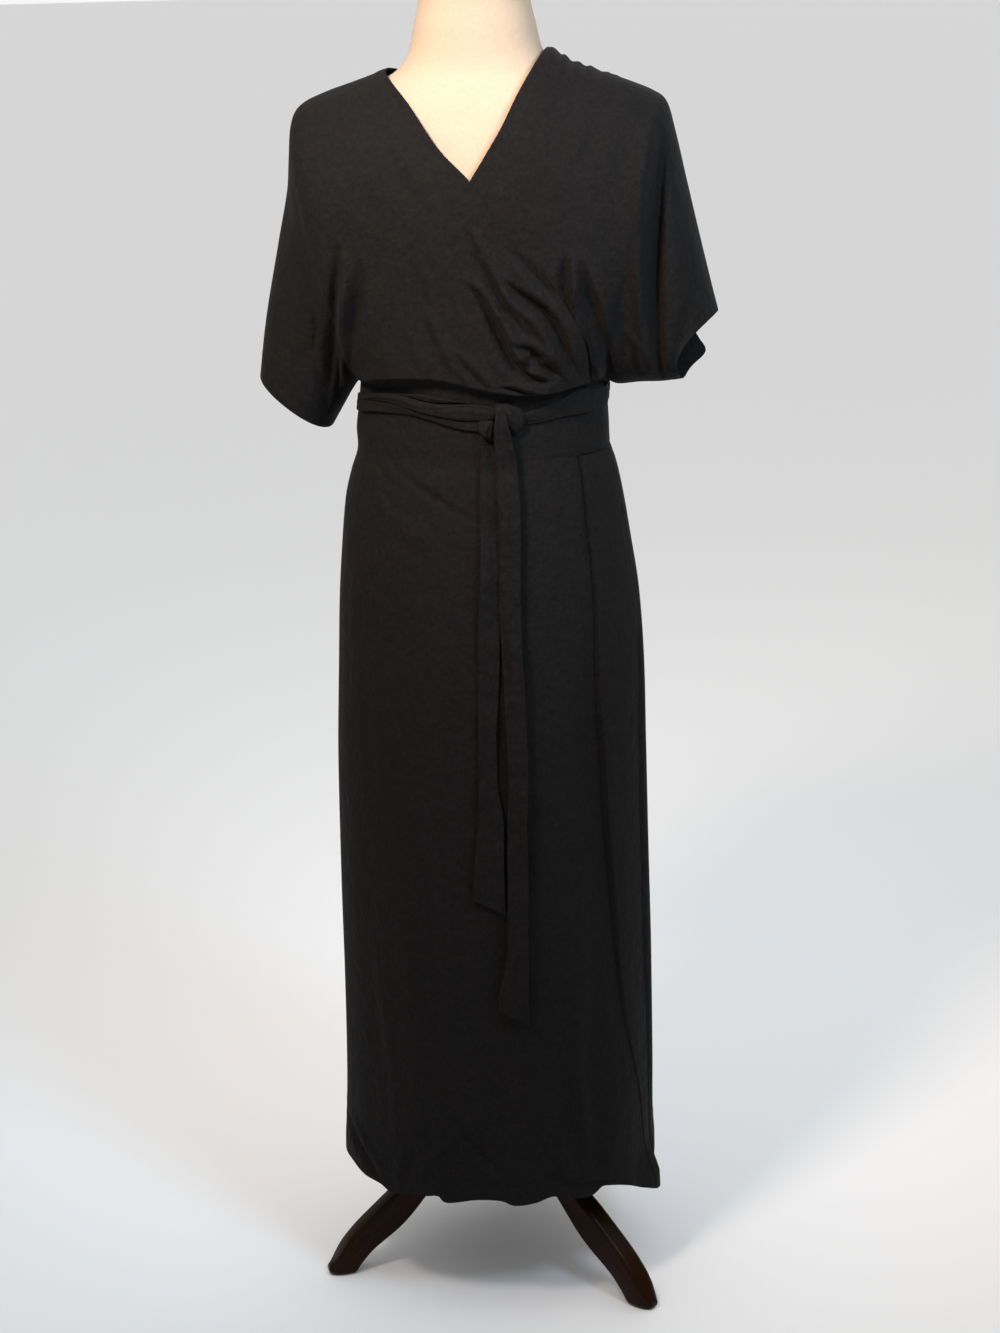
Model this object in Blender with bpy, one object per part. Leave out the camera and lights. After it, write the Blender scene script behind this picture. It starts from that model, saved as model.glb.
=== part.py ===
"""A long wrap dress with kimono sleeves on a limbless dress form with a tripod stand.

Metres, +Z up, front towards -Y, the wearer's left towards +X, floor at z = 0.
Tables are in millimetres, in a frame whose origin is where the pole's axis meets the floor.
"""

import math
from bisect import bisect_right
from functools import lru_cache

import bmesh
import bpy
from mathutils import Vector

MM = 0.001

# Driving sizes of the dress
CLOTH = 0.0016
SEAM_GAP = 0.0003
LAYER_STEP = 0.0034
BAND_TOP = 1.062
BAND_BOTTOM = 0.990
SKIRT_END = 0.140
ROUNDNESS = 2.25

# Driving sizes of the form and its stand
POLE_RADIUS = 0.0125
HUB_RADIUS = 0.030
HUB_BOTTOM = 0.122
HUB_TOP = 0.205
FLANGE_RADIUS = 0.045
FLANGE_THICKNESS = 0.004
LEG_ANGLES = (-157, -37, 83)
LEG_HALF_THICKNESS = 0.0125
LEG_CHAMFER = 0.004

# Faces across and down the cloth: sleeves, neck and whole pieces
BODICE_ROWS = 15
SLEEVE_COLUMNS = 7
BACK_NECK_COLUMNS = 10
RIGHT_FRONT_COLUMNS = 24
LEFT_FRONT_COLUMNS = 21
BACK_COLUMNS = 40
SKIRT_OVER_COLUMNS = 26
PLEAT_COLUMNS = (17, 19)

# The pole stands here, so that the whole object's box is centred on the origin
POLE_PLACE = Vector((-0.0035, -0.0294, 0.0))

# Rings of the waistband and the skirt: height, half widths to the left and right of the picture,
# depth to the front, depth to the back
RINGS = (
    (130, 189.5, 185.0, 163, 154),
    (160, 187.5, 181.5, 161, 153),
    (250, 181.5, 180.0, 158, 151),
    (370, 180.0, 178.5, 155, 150),
    (500, 180.5, 177.5, 152, 149),
    (640, 176.5, 175.5, 148, 147),
    (744, 172.5, 174.5, 142, 143),
    (824, 167.5, 169.0, 134, 135),
    (880, 161.0, 160.0, 125, 125),
    (937, 154.0, 150.5, 114, 112),
    (968, 146.0, 144.0, 108, 103),
    (990, 139.0, 137.5, 103, 96),
    (1040, 136.5, 135.0, 100, 92),
    (1062, 136.5, 135.0, 100, 92),
)

# Sections of the bodice, from the right cuff (-1) over both shoulders to the left cuff (+1):
# place, x and z of the shoulder or upper arm, x and z of the waist or lower arm
BODICE_EDGES = (
    (-1.00, -249, 1070, -176, 1010),
    (-0.90, -237, 1137, -161, 1031),
    (-0.80, -221, 1218, -150, 1049),
    (-0.70, -208, 1277, -142, 1060),
    (-0.60, -204, 1316, -136.5, 1064),
    (-0.50, -199, 1345, -130, 1066),
    (-0.42, -186, 1357, -116, 1070),
    (-0.34, -161, 1368, -93, 1075),
    (-0.26, -135, 1377, -71, 1077),
    (-0.18, -110, 1386, -49, 1077),
    (-0.13, -93, 1393, -35, 1076),
    (-0.06, -45, 1403, -16, 1072),
    (0.00, -5, 1409, 0, 1068),
    (0.06, 36, 1413, 17, 1064),
    (0.12, 77, 1413, 34, 1061),
    (0.18, 101, 1400, 51, 1059),
    (0.26, 132, 1388, 73, 1059),
    (0.34, 160, 1378, 93, 1061),
    (0.42, 187, 1367, 114, 1065),
    (0.50, 201, 1356, 128, 1065),
    (0.60, 210, 1327, 135, 1064),
    (0.70, 222, 1275, 148, 1058),
    (0.80, 236, 1215, 172, 1060),
    (0.90, 247, 1170, 197, 1061),
    (1.00, 256, 1135, 220, 1064),
)

# Depths of those sections: place, front, back, rise of the back neck above the shoulder line
BODICE_DEPTHS = (
    (-1.00, 62, 62, 0),
    (-0.80, 70, 70, 0),
    (-0.60, 84, 82, 0),
    (-0.42, 99, 94, 0),
    (-0.26, 107, 99, 0),
    (-0.13, 111, 102, 0),
    (0.00, 112, 103, 30),
    (0.12, 111, 102, 0),
    (0.26, 107, 99, 0),
    (0.42, 99, 94, 0),
    (0.60, 84, 82, 0),
    (0.80, 72, 72, 0),
    (1.00, 66, 66, 0),
)
SIDE_PLACE = 0.60
NECK_RIGHT = -0.13
NECK_LEFT = 0.12
DEEPEST_AT = 0.5
BLOUSE_OVERHANG = 0.012
COVERED_OVERHANG = 0.002
TUCK_SHARE = 0.14
BACK_NECK_DROP = 0.10

# Edges of the two fronts, from the neck down: height, x
OVER_EDGE = (
    (1066, 123),
    (1110, 122),
    (1152, 105),
    (1178, 86),
    (1214, 51),
    (1243, 33),
    (1284, 6),
    (1314, -24),
    (1362, -61),
    (1393, -93),
)
UNDER_EDGE = (
    (1062, -104),
    (1110, -101),
    (1150, -82),
    (1200, -47),
    (1243, -21),
    (1284, 6),
    (1334, 37),
    (1367, 53),
    (1413, 77),
)

# Largest folds of each bodice piece: height above the cloth, half width, then the x, z pairs of its route
RIGHT_FRONT_FOLDS = (
    (-7, 9, (-138, 1208), (-149, 1133), (-157, 1085), (-168, 1040)),
    (4, 11, (-128, 1215), (-138, 1145), (-146, 1100)),
    (-5, 8, (-118, 1196), (-132, 1104)),
    (5, 9, (36, 1196), (62, 1166), (84, 1138), (102, 1106)),
    (5, 9, (10, 1196), (38, 1158), (62, 1122), (92, 1088)),
    (4, 10, (-14, 1204), (10, 1150), (34, 1106), (66, 1080)),
)
LEFT_FRONT_FOLDS = (
    (-8, 9, (203, 1345), (197, 1268), (194, 1169), (196, 1101)),
    (4, 12, (180, 1330), (172, 1240), (170, 1120)),
)
BACK_FOLDS = (
    (-7, 10, (-150, 1240), (-152, 1160), (-160, 1080)),
    (-7, 10, (170, 1250), (168, 1160), (180, 1090)),
    (4, 12, (-60, 1190), (-50, 1120), (-44, 1080)),
    (4, 12, (62, 1200), (54, 1130), (46, 1080)),
    (3, 12, (4, 1180), (6, 1130), (4, 1080)),
)

# The skirt's over panel: height, angle of the knife pleat's edge, depth and spread of the trough beside it
PLEAT = (
    (130, 76, 2.0, 20),
    (250, 73, 4.0, 18),
    (368, 64, 7.0, 14),
    (450, 58.5, 9.0, 12),
    (596, 57, 10.0, 9),
    (690, 54, 8.0, 6),
    (780, 53.5, 3.0, 3),
    (990, 53, 1.0, 2),
)
PLEAT_RISE = 0.0022
PLEAT_STEP_ANGLE = 2.6
OVER_END_ANGLE = 76
UNDER_END_ANGLE = -38
# How far the under panel lies inside the ring: height, depth
UNDER_DROP = (
    (130, 14),
    (700, 14),
    (760, 11),
    (824, 7),
    (880, 4.5),
    (937, 2),
    (968, 1),
    (990, 0),
)

# Vertical folds of the skirt, deeper towards the hem: angle from the front, height, half width in degrees
SKIRT_FOLDS = (
    (-72, 4.0, 9),
    (-44, -3.0, 7),
    (-22, 3.0, 9),
    (4, -2.5, 8),
    (30, 3.0, 8),
    (112, 5.0, 9),
    (136, -4.5, 9),
    (160, 5.5, 10),
    (184, -4.0, 9),
    (208, 5.0, 10),
    (232, -4.5, 9),
    (254, 4.0, 8),
)
# Lower edge of the skirt: angle, height
HEM = (
    (-90, 131),
    (-60, 138),
    (-35, 135),
    (-18, 139),
    (0, 146),
    (14, 141),
    (35, 150),
    (50, 147),
    (66, 141),
    (78, 122),
    (90, 134),
    (120, 140),
    (150, 136),
    (180, 142),
    (210, 136),
    (240, 141),
    (270, 131),
)

# Sections of the form: height, half width, depth to the front, depth to the back
FORM = (
    (745, 146, 104, 106),
    (748, 153, 111, 113),
    (756, 157, 115, 117),
    (780, 159, 117, 120),
    (820, 158, 117, 120),
    (880, 152, 112, 113),
    (940, 145, 106, 103),
    (990, 135.3, 100, 93),
    (1025, 133.4, 98.2, 90.2),
    (1050, 132.6, 97.6, 89.6),
    (1080, 132.6, 97.6, 87),
    (1120, 137, 100, 87),
    (1160, 144, 104, 88),
    (1210, 153, 107, 90),
    (1250, 162, 106, 91),
    (1290, 170, 100, 89),
    (1325, 174, 91, 83),
    (1342, 168, 85, 78),
    (1356, 155, 80, 74),
    (1369, 131, 74, 67),
    (1381, 107, 68, 61),
    (1391, 87, 63, 57),
    (1403, 76, 60, 56),
    (1416, 69.5, 59, 56),
    (1438, 64.5, 58, 57),
    (1462, 59, 55, 55),
    (1496, 57.5, 54, 54),
    (1502, 55.5, 52, 52),
    (1505, 51, 48, 48),
)

# A leg along its run: distance from the pole's axis, underside, upper side, share of the full thickness
LEG = (
    (30.2, 150, 188, 1.0),
    (50, 140, 178, 1.0),
    (75, 123, 160, 1.0),
    (100, 101, 138, 1.0),
    (125, 77, 113, 1.0),
    (150, 51, 86, 1.0),
    (170, 29, 62, 1.0),
    (188, 9, 42, 1.0),
    (198, 0, 32, 1.0),
    (212, 0, 24, 0.95),
    (222, 0, 17, 0.75),
    (227, 3, 12, 0.45),
)

# Stretches of the belt round the waist: angle from the front, height of the middle, width, lean in degrees
BELT_RIGHT_UPPER = (
    (-61, 1052, 13, 10),
    (-45, 1054, 13, 25),
    (-25, 1051, 12, 0),
    (-8, 1048, 11, -20),
    (10, 1046.5, 11, 0),
)
BELT_RIGHT_LOWER = (
    (-61, 1038, 13, -10),
    (-45, 1038.5, 14, 0),
    (-25, 1034, 15, 20),
    (-10, 1030.5, 14, 0),
    (2, 1029, 12, -10),
)
BELT_LEFT = (
    (27, 1038, 12, 20),
    (38, 1042, 15, 0),
    (55, 1045, 16, -10),
    (75, 1046, 17, 0),
    (89.8, 1046, 17, 0),
)
BELT_BACK = (
    (90.2, 1046, 17, 0),
    (120, 1045, 20, 10),
    (150, 1044, 22, 0),
    (180, 1043, 22, -10),
    (210, 1042, 21, 0),
    (240, 1040, 19, 8),
    (270, 1039, 18, 0),
    (298.6, 1044, 26, 0),
)
BELT_THICKNESS = 0.004
BELT_CLEARANCE = 0.0009

# Knot: height, x of the middle, half width, how far it stands out
KNOT_LOOP = (
    (1021, 46, 8, 9),
    (1025, 46, 12, 13),
    (1034, 46, 15, 16),
    (1044, 46, 15, 16),
    (1051, 46.5, 13, 13),
    (1054, 47, 9, 8),
)
KNOT_TURN = (
    (1017, 25, 3, 6),
    (1021, 23, 5, 9),
    (1028, 20, 8.5, 11),
    (1034, 19, 9.5, 10),
    (1038, 18, 8, 7),
)

# Tails of the belt: height, x of the middle, width, turn about the vertical in degrees
LONG_TAIL = (
    (364, 40, 30, 0),
    (413, 39, 27, 8),
    (511, 50, 19, -8),
    (590, 50, 18, 6),
    (692, 48.5, 19, -6),
    (799, 47.5, 21, 8),
    (878, 45.5, 21, 0),
    (955, 43.5, 22, -10),
    (1020.6, 45, 16, 0),
)
SHORT_TAIL = (
    (497, 16, 34, 0),
    (560, 18, 24, 6),
    (628, 19, 19, -6),
    (741, 18, 18, 6),
    (845, 18, 19, 0),
    (875, 18, 13, 30),
    (934, 21, 17, 0),
    (997, 22, 15, 0),
    (1016.6, 24, 7, 0),
)
TAIL_THICKNESS = 0.0024
TAIL_CLEARANCE = 0.004

BLACK_CREPE = {"colour": (0.018, 0.017, 0.018), "roughness": 0.85, "metallic": 0.0}
CREAM_JERSEY = {"colour": (0.86, 0.76, 0.62), "roughness": 0.9, "metallic": 0.0}
DARK_WOOD = {"colour": (0.045, 0.012, 0.008), "roughness": 0.25, "metallic": 0.0}
BLACK_STEEL = {"colour": (0.02, 0.02, 0.022), "roughness": 0.4, "metallic": 1.0}


def read_curve(table, place):
    """The columns of a table at a place given in its first column, on a smooth curve through its rows."""
    places = [row[0] for row in table]
    place = min(max(place, places[0]), places[-1])
    upper = min(max(bisect_right(places, place), 1), len(places) - 1)
    lower = upper - 1
    span = places[upper] - places[lower]
    t = (place - places[lower]) / span
    columns = []
    for column in range(1, len(table[0])):
        start, end = table[lower][column], table[upper][column]
        slopes = []
        for row in (lower, upper):
            before, after = max(row - 1, 0), min(row + 1, len(places) - 1)
            rise = table[after][column] - table[before][column]
            slopes.append(span * rise / (places[after] - places[before]))
        columns.append(
            start * (1 - t) ** 2 * (1 + 2 * t)
            + end * t * t * (3 - 2 * t)
            + slopes[0] * t * (1 - t) ** 2
            - slopes[1] * t * t * (1 - t)
        )
    return columns


def smooth_step(value, start, end):
    t = min(max((value - start) / (end - start), 0), 1)
    return t * t * (3 - 2 * t)


def mix(start, end, share):
    return start + (end - start) * share


def walk_stops(share, *stops):
    """Walks along stops of (share, value), in straight runs."""
    for (start, low), (end, high) in zip(stops, stops[1:]):
        if share <= end:
            return mix(low, high, (share - start) / (end - start))
    return stops[-1][1]


# Objects

def make_object(name, mesh, finish):
    bmesh.ops.translate(mesh, verts=mesh.verts, vec=POLE_PLACE)
    data = bpy.data.meshes.new(name)
    mesh.to_mesh(data)
    mesh.free()
    data.shade_smooth()
    data.set_sharp_from_angle(angle=math.radians(50))
    obj = bpy.data.objects.new(name, data)
    bpy.context.collection.objects.link(obj)
    material = bpy.data.materials.new(name + "_finish")
    material.use_nodes = True
    shader = material.node_tree.nodes["Principled BSDF"]
    shader.inputs["Base Color"].default_value = (*finish["colour"], 1)
    shader.inputs["Roughness"].default_value = finish["roughness"]
    shader.inputs["Metallic"].default_value = finish["metallic"]
    data.materials.append(material)
    return obj


def make_wall(name, surface, columns, rows, finish, thickness=CLOTH, facing=0):
    """A wall of even thickness whose middle follows surface(across, down), both from 0 to 1.

    A front (facing -1) or a back (facing 1) stops at its seam on the plane y = 0.
    """
    mesh = bmesh.new()
    bmesh.ops.create_grid(mesh, x_segments=columns, y_segments=rows, size=1)
    inner = list(mesh.verts)
    made = bmesh.ops.extrude_face_region(mesh, geom=mesh.faces[:], use_keep_orig=True)
    outer = [item for item in made["geom"] if isinstance(item, bmesh.types.BMVert)]
    sections = lru_cache(maxsize=None)(lambda across, down: section_at(surface, across, down))
    for layer, side in ((inner, -0.5), (outer, 0.5)):
        for vert in layer:
            middle, normal = sections((vert.co.x + 1) / 2, (vert.co.y + 1) / 2)
            vert.co = middle + normal * side * thickness
            if facing:
                vert.co.y = facing * max(facing * vert.co.y, SEAM_GAP / 2)
    face_outwards(mesh)
    return make_object(name, mesh, finish)


def face_outwards(mesh):
    bmesh.ops.recalc_face_normals(mesh, faces=mesh.faces)
    if mesh.calc_volume(signed=True) < 0:
        bmesh.ops.reverse_faces(mesh, faces=mesh.faces)


def section_at(surface, across, down):
    """A point of the surface, and the direction square to it, found by short steps that stay on it."""
    step = 0.002
    left, right = max(across - step, 0), min(across + step, 1)
    above, below = max(down - step, 0), min(down + step, 1)
    along = surface(right, down) - surface(left, down)
    fall = surface(across, below) - surface(across, above)
    return surface(across, down), along.cross(fall).normalized()


def make_tube(name, surface, rows, sides, finish):
    """A closed solid whose skin follows surface(along, turn), both from 0 to 1, with flat ends."""
    mesh = bmesh.new()
    bmesh.ops.create_grid(mesh, x_segments=rows, y_segments=sides, size=1)
    for vert in mesh.verts:
        vert.co = surface((vert.co.x + 1) / 2, (vert.co.y + 1) / 2 % 1)
    bmesh.ops.remove_doubles(mesh, verts=mesh.verts, dist=1e-7)
    bmesh.ops.holes_fill(mesh, edges=mesh.edges)
    face_outwards(mesh)
    return make_object(name, mesh, finish)


# Rings of the waist and the skirt

def ring_point(angle, height, out=0.0):
    """A point of the waistband's or skirt's ring. The angle is from the front, positive to the wearer's left."""
    left, right, front, back = (size * MM for size in read_curve(RINGS, height / MM))
    turn = math.radians(angle)
    half_width = right if math.sin(turn) > 0 else left
    depth = front if math.cos(turn) > 0 else back
    x = math.copysign(abs(math.sin(turn)) ** (2 / ROUNDNESS), math.sin(turn))
    y = -math.copysign(abs(math.cos(turn)) ** (2 / ROUNDNESS), math.cos(turn))
    power = ROUNDNESS - 1
    normal = Vector((
        math.copysign(abs(x) ** power / half_width, x),
        math.copysign(abs(y) ** power / depth, y),
        0,
    )).normalized()
    return Vector((x * half_width, y * depth, height)) + normal * out


def ring_angle(x, facing, height):
    """The ring angle, on the front (-1) or the back (1), of the point at x."""
    left, right = (size * MM for size in read_curve(RINGS, height / MM)[:2])
    reach = min(abs(x) / (right if x > 0 else left), 1)
    turn = math.degrees(math.asin(reach ** (ROUNDNESS / 2)))
    turn = math.copysign(turn, x)
    return turn if facing < 0 else 180 - turn


# Bodice

def fold_height(folds, x, z):
    """Sum of the folds' heights at a point of their piece."""
    total = 0.0
    for height, half_width, *route in folds:
        nearest, place = min(nearest_on_route(route, x / MM, z / MM))
        fade = 1 - abs(2 * place - 1) ** 3
        total += height * MM * math.exp(-((nearest / half_width) ** 2)) * (0.25 + 0.75 * fade)
    return total


def nearest_on_route(route, x, z):
    """For each stretch of a route, the distance from it and the share of the route walked there."""
    for index, (start, end) in enumerate(zip(route, route[1:])):
        run, rise = end[0] - start[0], end[1] - start[1]
        share = ((x - start[0]) * run + (z - start[1]) * rise) / (run * run + rise * rise)
        share = min(max(share, 0), 1)
        gap = math.hypot(x - start[0] - run * share, z - start[1] - rise * share)
        yield gap, (index + share) / (len(route) - 1)


def bodice_point(facing, place, down, folds=(), lift=0.0, overhang=BLOUSE_OVERHANG):
    """A point of the bodice: place runs from cuff to cuff, down from the shoulder to the waist."""
    top_x, top_z, low_x, low_z = (size * MM for size in read_curve(BODICE_EDGES, place))
    front, back, rise = (size * MM for size in read_curve(BODICE_DEPTHS, place))
    full = front if facing < 0 else back
    share = (1 - math.cos(math.pi * down)) / 2
    x = mix(top_x, low_x, share)
    z = mix(top_z + (rise if facing > 0 else 0), low_z, share)

    on_waist = abs(place) < SIDE_PLACE
    low_depth = 0.0
    if on_waist:
        angle = ring_angle(low_x, facing, BAND_TOP)
        end = ring_point(angle, BAND_TOP, lift)
        end.z = BAND_TOP + SEAM_GAP + CLOTH * 0.75
        low_depth = abs(ring_point(angle, BAND_TOP).y) + overhang * (1 - (abs(place) / SIDE_PLACE) ** 4)
    if share < DEEPEST_AT:
        depth = full * (1 - (1 - share / DEEPEST_AT) ** ROUNDNESS) ** (1 / ROUNDNESS)
    else:
        closing = 1 - min(low_depth / full, 1) ** ROUNDNESS
        run = (share - DEEPEST_AT) / (1 - DEEPEST_AT)
        depth = full * max(1 - closing * run**ROUNDNESS, 0) ** (1 / ROUNDNESS)
    depth += lift * smooth_step(share, 0.04, 0.35)
    near_seam = smooth_step(share, 0.0, 0.12) * (1 - smooth_step(share, 0.9, 1.0))
    depth += fold_height(folds, x, z) * near_seam
    loose = Vector((x, facing * (SEAM_GAP / 2 + depth), z))
    if not on_waist:
        return loose
    return loose.lerp(end, smooth_step(down, 1 - TUCK_SHARE, 1))


@lru_cache(maxsize=None)
def edge_place(edge, down, low, high):
    """The place between low and high where the section at this share down meets an edge of a front."""
    for _ in range(24):
        middle = (low + high) / 2
        point = bodice_point(-1, middle, min(down, 1 - TUCK_SHARE))
        if point.x < read_curve(edge, point.z / MM)[0] * MM:
            low = middle
        else:
            high = middle
    return (low + high) / 2


def over_lift(place):
    return LAYER_STEP * smooth_step(place, -SIDE_PLACE, -0.4)


def front_over(across, down):
    end = edge_place(OVER_EDGE, down, NECK_RIGHT, SIDE_PLACE - 0.02)
    place = walk_stops(across, (0, -1), (SLEEVE_COLUMNS / RIGHT_FRONT_COLUMNS, -SIDE_PLACE), (1, end))
    return bodice_point(-1, place, down, RIGHT_FRONT_FOLDS, over_lift(place))


def front_under(across, down):
    start = edge_place(UNDER_EDGE, down, -SIDE_PLACE + 0.05, NECK_LEFT)
    place = walk_stops(across, (0, start), (1 - SLEEVE_COLUMNS / LEFT_FRONT_COLUMNS, SIDE_PLACE), (1, 1))
    over_end = edge_place(OVER_EDGE, down, NECK_RIGHT, SIDE_PLACE - 0.02)
    overhang = mix(COVERED_OVERHANG, BLOUSE_OVERHANG, smooth_step(place, over_end, over_end + 0.08))
    return bodice_point(-1, place, down, LEFT_FRONT_FOLDS, overhang=overhang)


def bodice_back(across, down):
    sleeve, half_neck = SLEEVE_COLUMNS / BACK_COLUMNS, BACK_NECK_COLUMNS / BACK_COLUMNS / 2
    turn = walk_stops(across, (0, 0), (0.5 - half_neck, 0), (0.5 + half_neck, 180), (1, 180))
    middle, reach = (NECK_LEFT + NECK_RIGHT) / 2, (NECK_LEFT - NECK_RIGHT) / 2
    place = walk_stops(
        across,
        (0, -1),
        (sleeve, -SIDE_PLACE),
        (0.5 - half_neck, NECK_RIGHT),
        (0.5 + half_neck, NECK_LEFT),
        (1 - sleeve, SIDE_PLACE),
        (1, 1),
    )
    if 0 < turn < 180:
        place = middle - reach * math.cos(math.radians(turn))
    drop = BACK_NECK_DROP * math.sin(math.radians(turn)) ** 2
    start = math.acos(1 - 2 * drop) / math.pi
    return bodice_point(1, place, mix(start, 1, down), BACK_FOLDS)


# Waistband and skirt

def band_lift(angle):
    return LAYER_STEP * smooth_step(angle, -90, -62)


def band_piece(start, end, lift):
    def surface(across, down):
        angle = mix(start, end, across)
        return ring_point(angle, mix(BAND_TOP, BAND_BOTTOM, down), lift(angle))

    return surface


def hem_height(angle):
    return read_curve(HEM, angle)[0] * MM


def skirt_height(angle, down):
    return mix(BAND_BOTTOM - SEAM_GAP * 2, hem_height(angle), down)


def soft_folds(angle, height):
    """Height of the skirt's vertical folds, from nothing at the hips to all of it at the hem."""
    growth = smooth_step(height, 0.95, 0.30)
    return growth * sum(
        rise * MM * math.exp(-(((angle - place) / spread) ** 2)) for place, rise, spread in SKIRT_FOLDS
    )


def skirt_over(across, down):
    pleat_from, pleat_to = (column / SKIRT_OVER_COLUMNS for column in PLEAT_COLUMNS)
    edge, depth, spread = read_curve(PLEAT, mix(BAND_BOTTOM, SKIRT_END, down) / MM)
    angle = walk_stops(
        across,
        (0, -90 + 0.06),
        (pleat_from, edge - PLEAT_STEP_ANGLE),
        (pleat_to, edge),
        (1, OVER_END_ANGLE + 3),
    )
    height = skirt_height(angle, down)
    out = band_lift(angle) + soft_folds(angle, height) * (1 - smooth_step(angle, 50, 70))
    step = smooth_step(across, pleat_from, pleat_to)
    out += PLEAT_RISE * step * (1 - 0.5 * smooth_step(angle, edge, edge + 15))
    trough = math.exp(-((max(edge - PLEAT_STEP_ANGLE - angle, 0) / spread) ** 2))
    out -= depth * MM * trough * (1 - step)
    return ring_point(angle, height, out)


def skirt_under(across, down):
    angle = mix(UNDER_END_ANGLE, 90 - 0.06, across)
    inside = smooth_step(90 - angle, 0, 14)
    height = skirt_height(angle, down) + 0.004 * inside * down
    deep = read_curve(UNDER_DROP, height / MM)[0] * MM
    return ring_point(angle, height, -deep * inside)


def skirt_back(across, down):
    angle = mix(90 + 0.06, 270 - 0.06, across)
    height = skirt_height(angle, down)
    side = smooth_step(angle, 90, 104) * (1 - smooth_step(angle, 256, 270))
    return ring_point(angle, height, soft_folds(angle, height) * side)


# Belt

def belt_lift(angle):
    """How far the waistband's over piece carries the belt out."""
    angle = (angle + 180) % 360 - 180
    if angle <= OVER_END_ANGLE:
        return band_lift(angle)
    return LAYER_STEP * (1 - smooth_step(angle, OVER_END_ANGLE, 100))


def belt_stretch(table):
    """A flat strap laid against the waistband, leaning and narrowing as its table says."""
    start, end = table[0][0], table[-1][0]

    def surface(along, turn):
        angle = mix(start, end, along)
        height, width, lean = read_curve(table, angle)
        height, half_width, lean = height * MM, width * MM / 2, math.radians(lean)
        half_thick = BELT_THICKNESS / 2
        reach = math.hypot(half_width * math.sin(lean), half_thick * math.cos(lean))
        middle = belt_lift(angle) + CLOTH / 2 + BELT_CLEARANCE + reach
        across, out = half_width * math.sin(math.tau * turn), half_thick * math.cos(math.tau * turn)
        up = across * math.cos(lean) - out * math.sin(lean)
        away = across * math.sin(lean) + out * math.cos(lean)
        return ring_point(angle, height + up, middle + away)

    return surface


def knot_piece(table):
    """A rounded lump against the waistband, whose back follows it."""

    def surface(along, turn):
        height = mix(table[0][0], table[-1][0], along)
        x, half_width, proud = (size * MM for size in read_curve(table, height))
        x += half_width * math.sin(math.tau * turn)
        angle = ring_angle(x, -1, height * MM)
        skin = ring_point(angle, height * MM, band_lift(angle) + CLOTH / 2 + BELT_CLEARANCE)
        return Vector((x, skin.y - proud * (1 - math.cos(math.tau * turn)) / 2, height * MM))

    return surface


def tail(table):
    """A flat double-layer tie that hangs in front of the skirt."""

    def surface(across, down):
        height = mix(table[-1][0], table[0][0], down)
        x, width, turn = read_curve(table, height)
        half, turn = (across - 0.5) * width * MM, math.radians(turn)
        x, height = x * MM, height * MM
        fold = 0.0012 * math.cos(math.tau * across)
        ring_height = min(height, BAND_TOP)
        front = max(
            -ring_point(ring_angle(spot, -1, ring_height), ring_height, LAYER_STEP).y
            for spot in (x - 0.02, x, x + 0.02)
        )
        sway = soft_folds(math.degrees(math.atan2(x, 0.15)), height)
        out = front + TAIL_CLEARANCE + max(sway, 0) + 0.003 * smooth_step(height, 0.98, 1.01)
        lean = abs(math.sin(turn)) * width * MM / 2
        return Vector((x + half * math.cos(turn), -out - lean - half * math.sin(turn) - fold, height))

    return surface


# Form and stand

def form_skin(along, turn):
    row = along * (len(FORM) - 1)
    lower = min(int(row), len(FORM) - 2)
    height, half_width, front, back = (
        mix(FORM[lower][column], FORM[lower + 1][column], row - lower) * MM for column in range(4)
    )
    angle = math.tau * turn
    x = math.copysign(abs(math.sin(angle)) ** (2 / ROUNDNESS), math.sin(angle))
    y = -math.copysign(abs(math.cos(angle)) ** (2 / ROUNDNESS), math.cos(angle))
    depth = front if y < 0 else back
    return Vector((x * half_width, y * depth, height))


def turned(profile):
    """A round piece from its profile of (radius, height)."""

    def surface(along, turn):
        row = along * (len(profile) - 1)
        lower = min(int(row), len(profile) - 2)
        radius = mix(profile[lower][0], profile[lower + 1][0], row - lower)
        height = mix(profile[lower][1], profile[lower + 1][1], row - lower)
        return Vector((radius * math.cos(math.tau * turn), radius * math.sin(math.tau * turn), height))

    return surface


def leg_skin(angle):
    """A flat curved board with chamfered edges, upright on its own run."""
    run = Vector((math.cos(math.radians(angle)), math.sin(math.radians(angle)), 0))
    beside = Vector((-run.y, run.x, 0))

    def surface(along, turn):
        row = along * (len(LEG) - 1)
        lower = min(int(row), len(LEG) - 2)
        distance, low, high, share = (
            mix(LEG[lower][column], LEG[lower + 1][column], row - lower) for column in range(4)
        )
        low, high, half = low * MM, high * MM, LEG_HALF_THICKNESS * share
        cut = min(LEG_CHAMFER, (high - low) * 0.3, half * 0.6)
        section = (
            (half - cut, low),
            (half, low + cut),
            (half, high - cut),
            (half - cut, high),
            (cut - half, high),
            (-half, high - cut),
            (-half, low + cut),
            (cut - half, low),
        )
        aside, height = section[round(turn * len(section)) % len(section)]
        return run * distance * MM + beside * aside + Vector((0, 0, height))

    return surface


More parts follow.
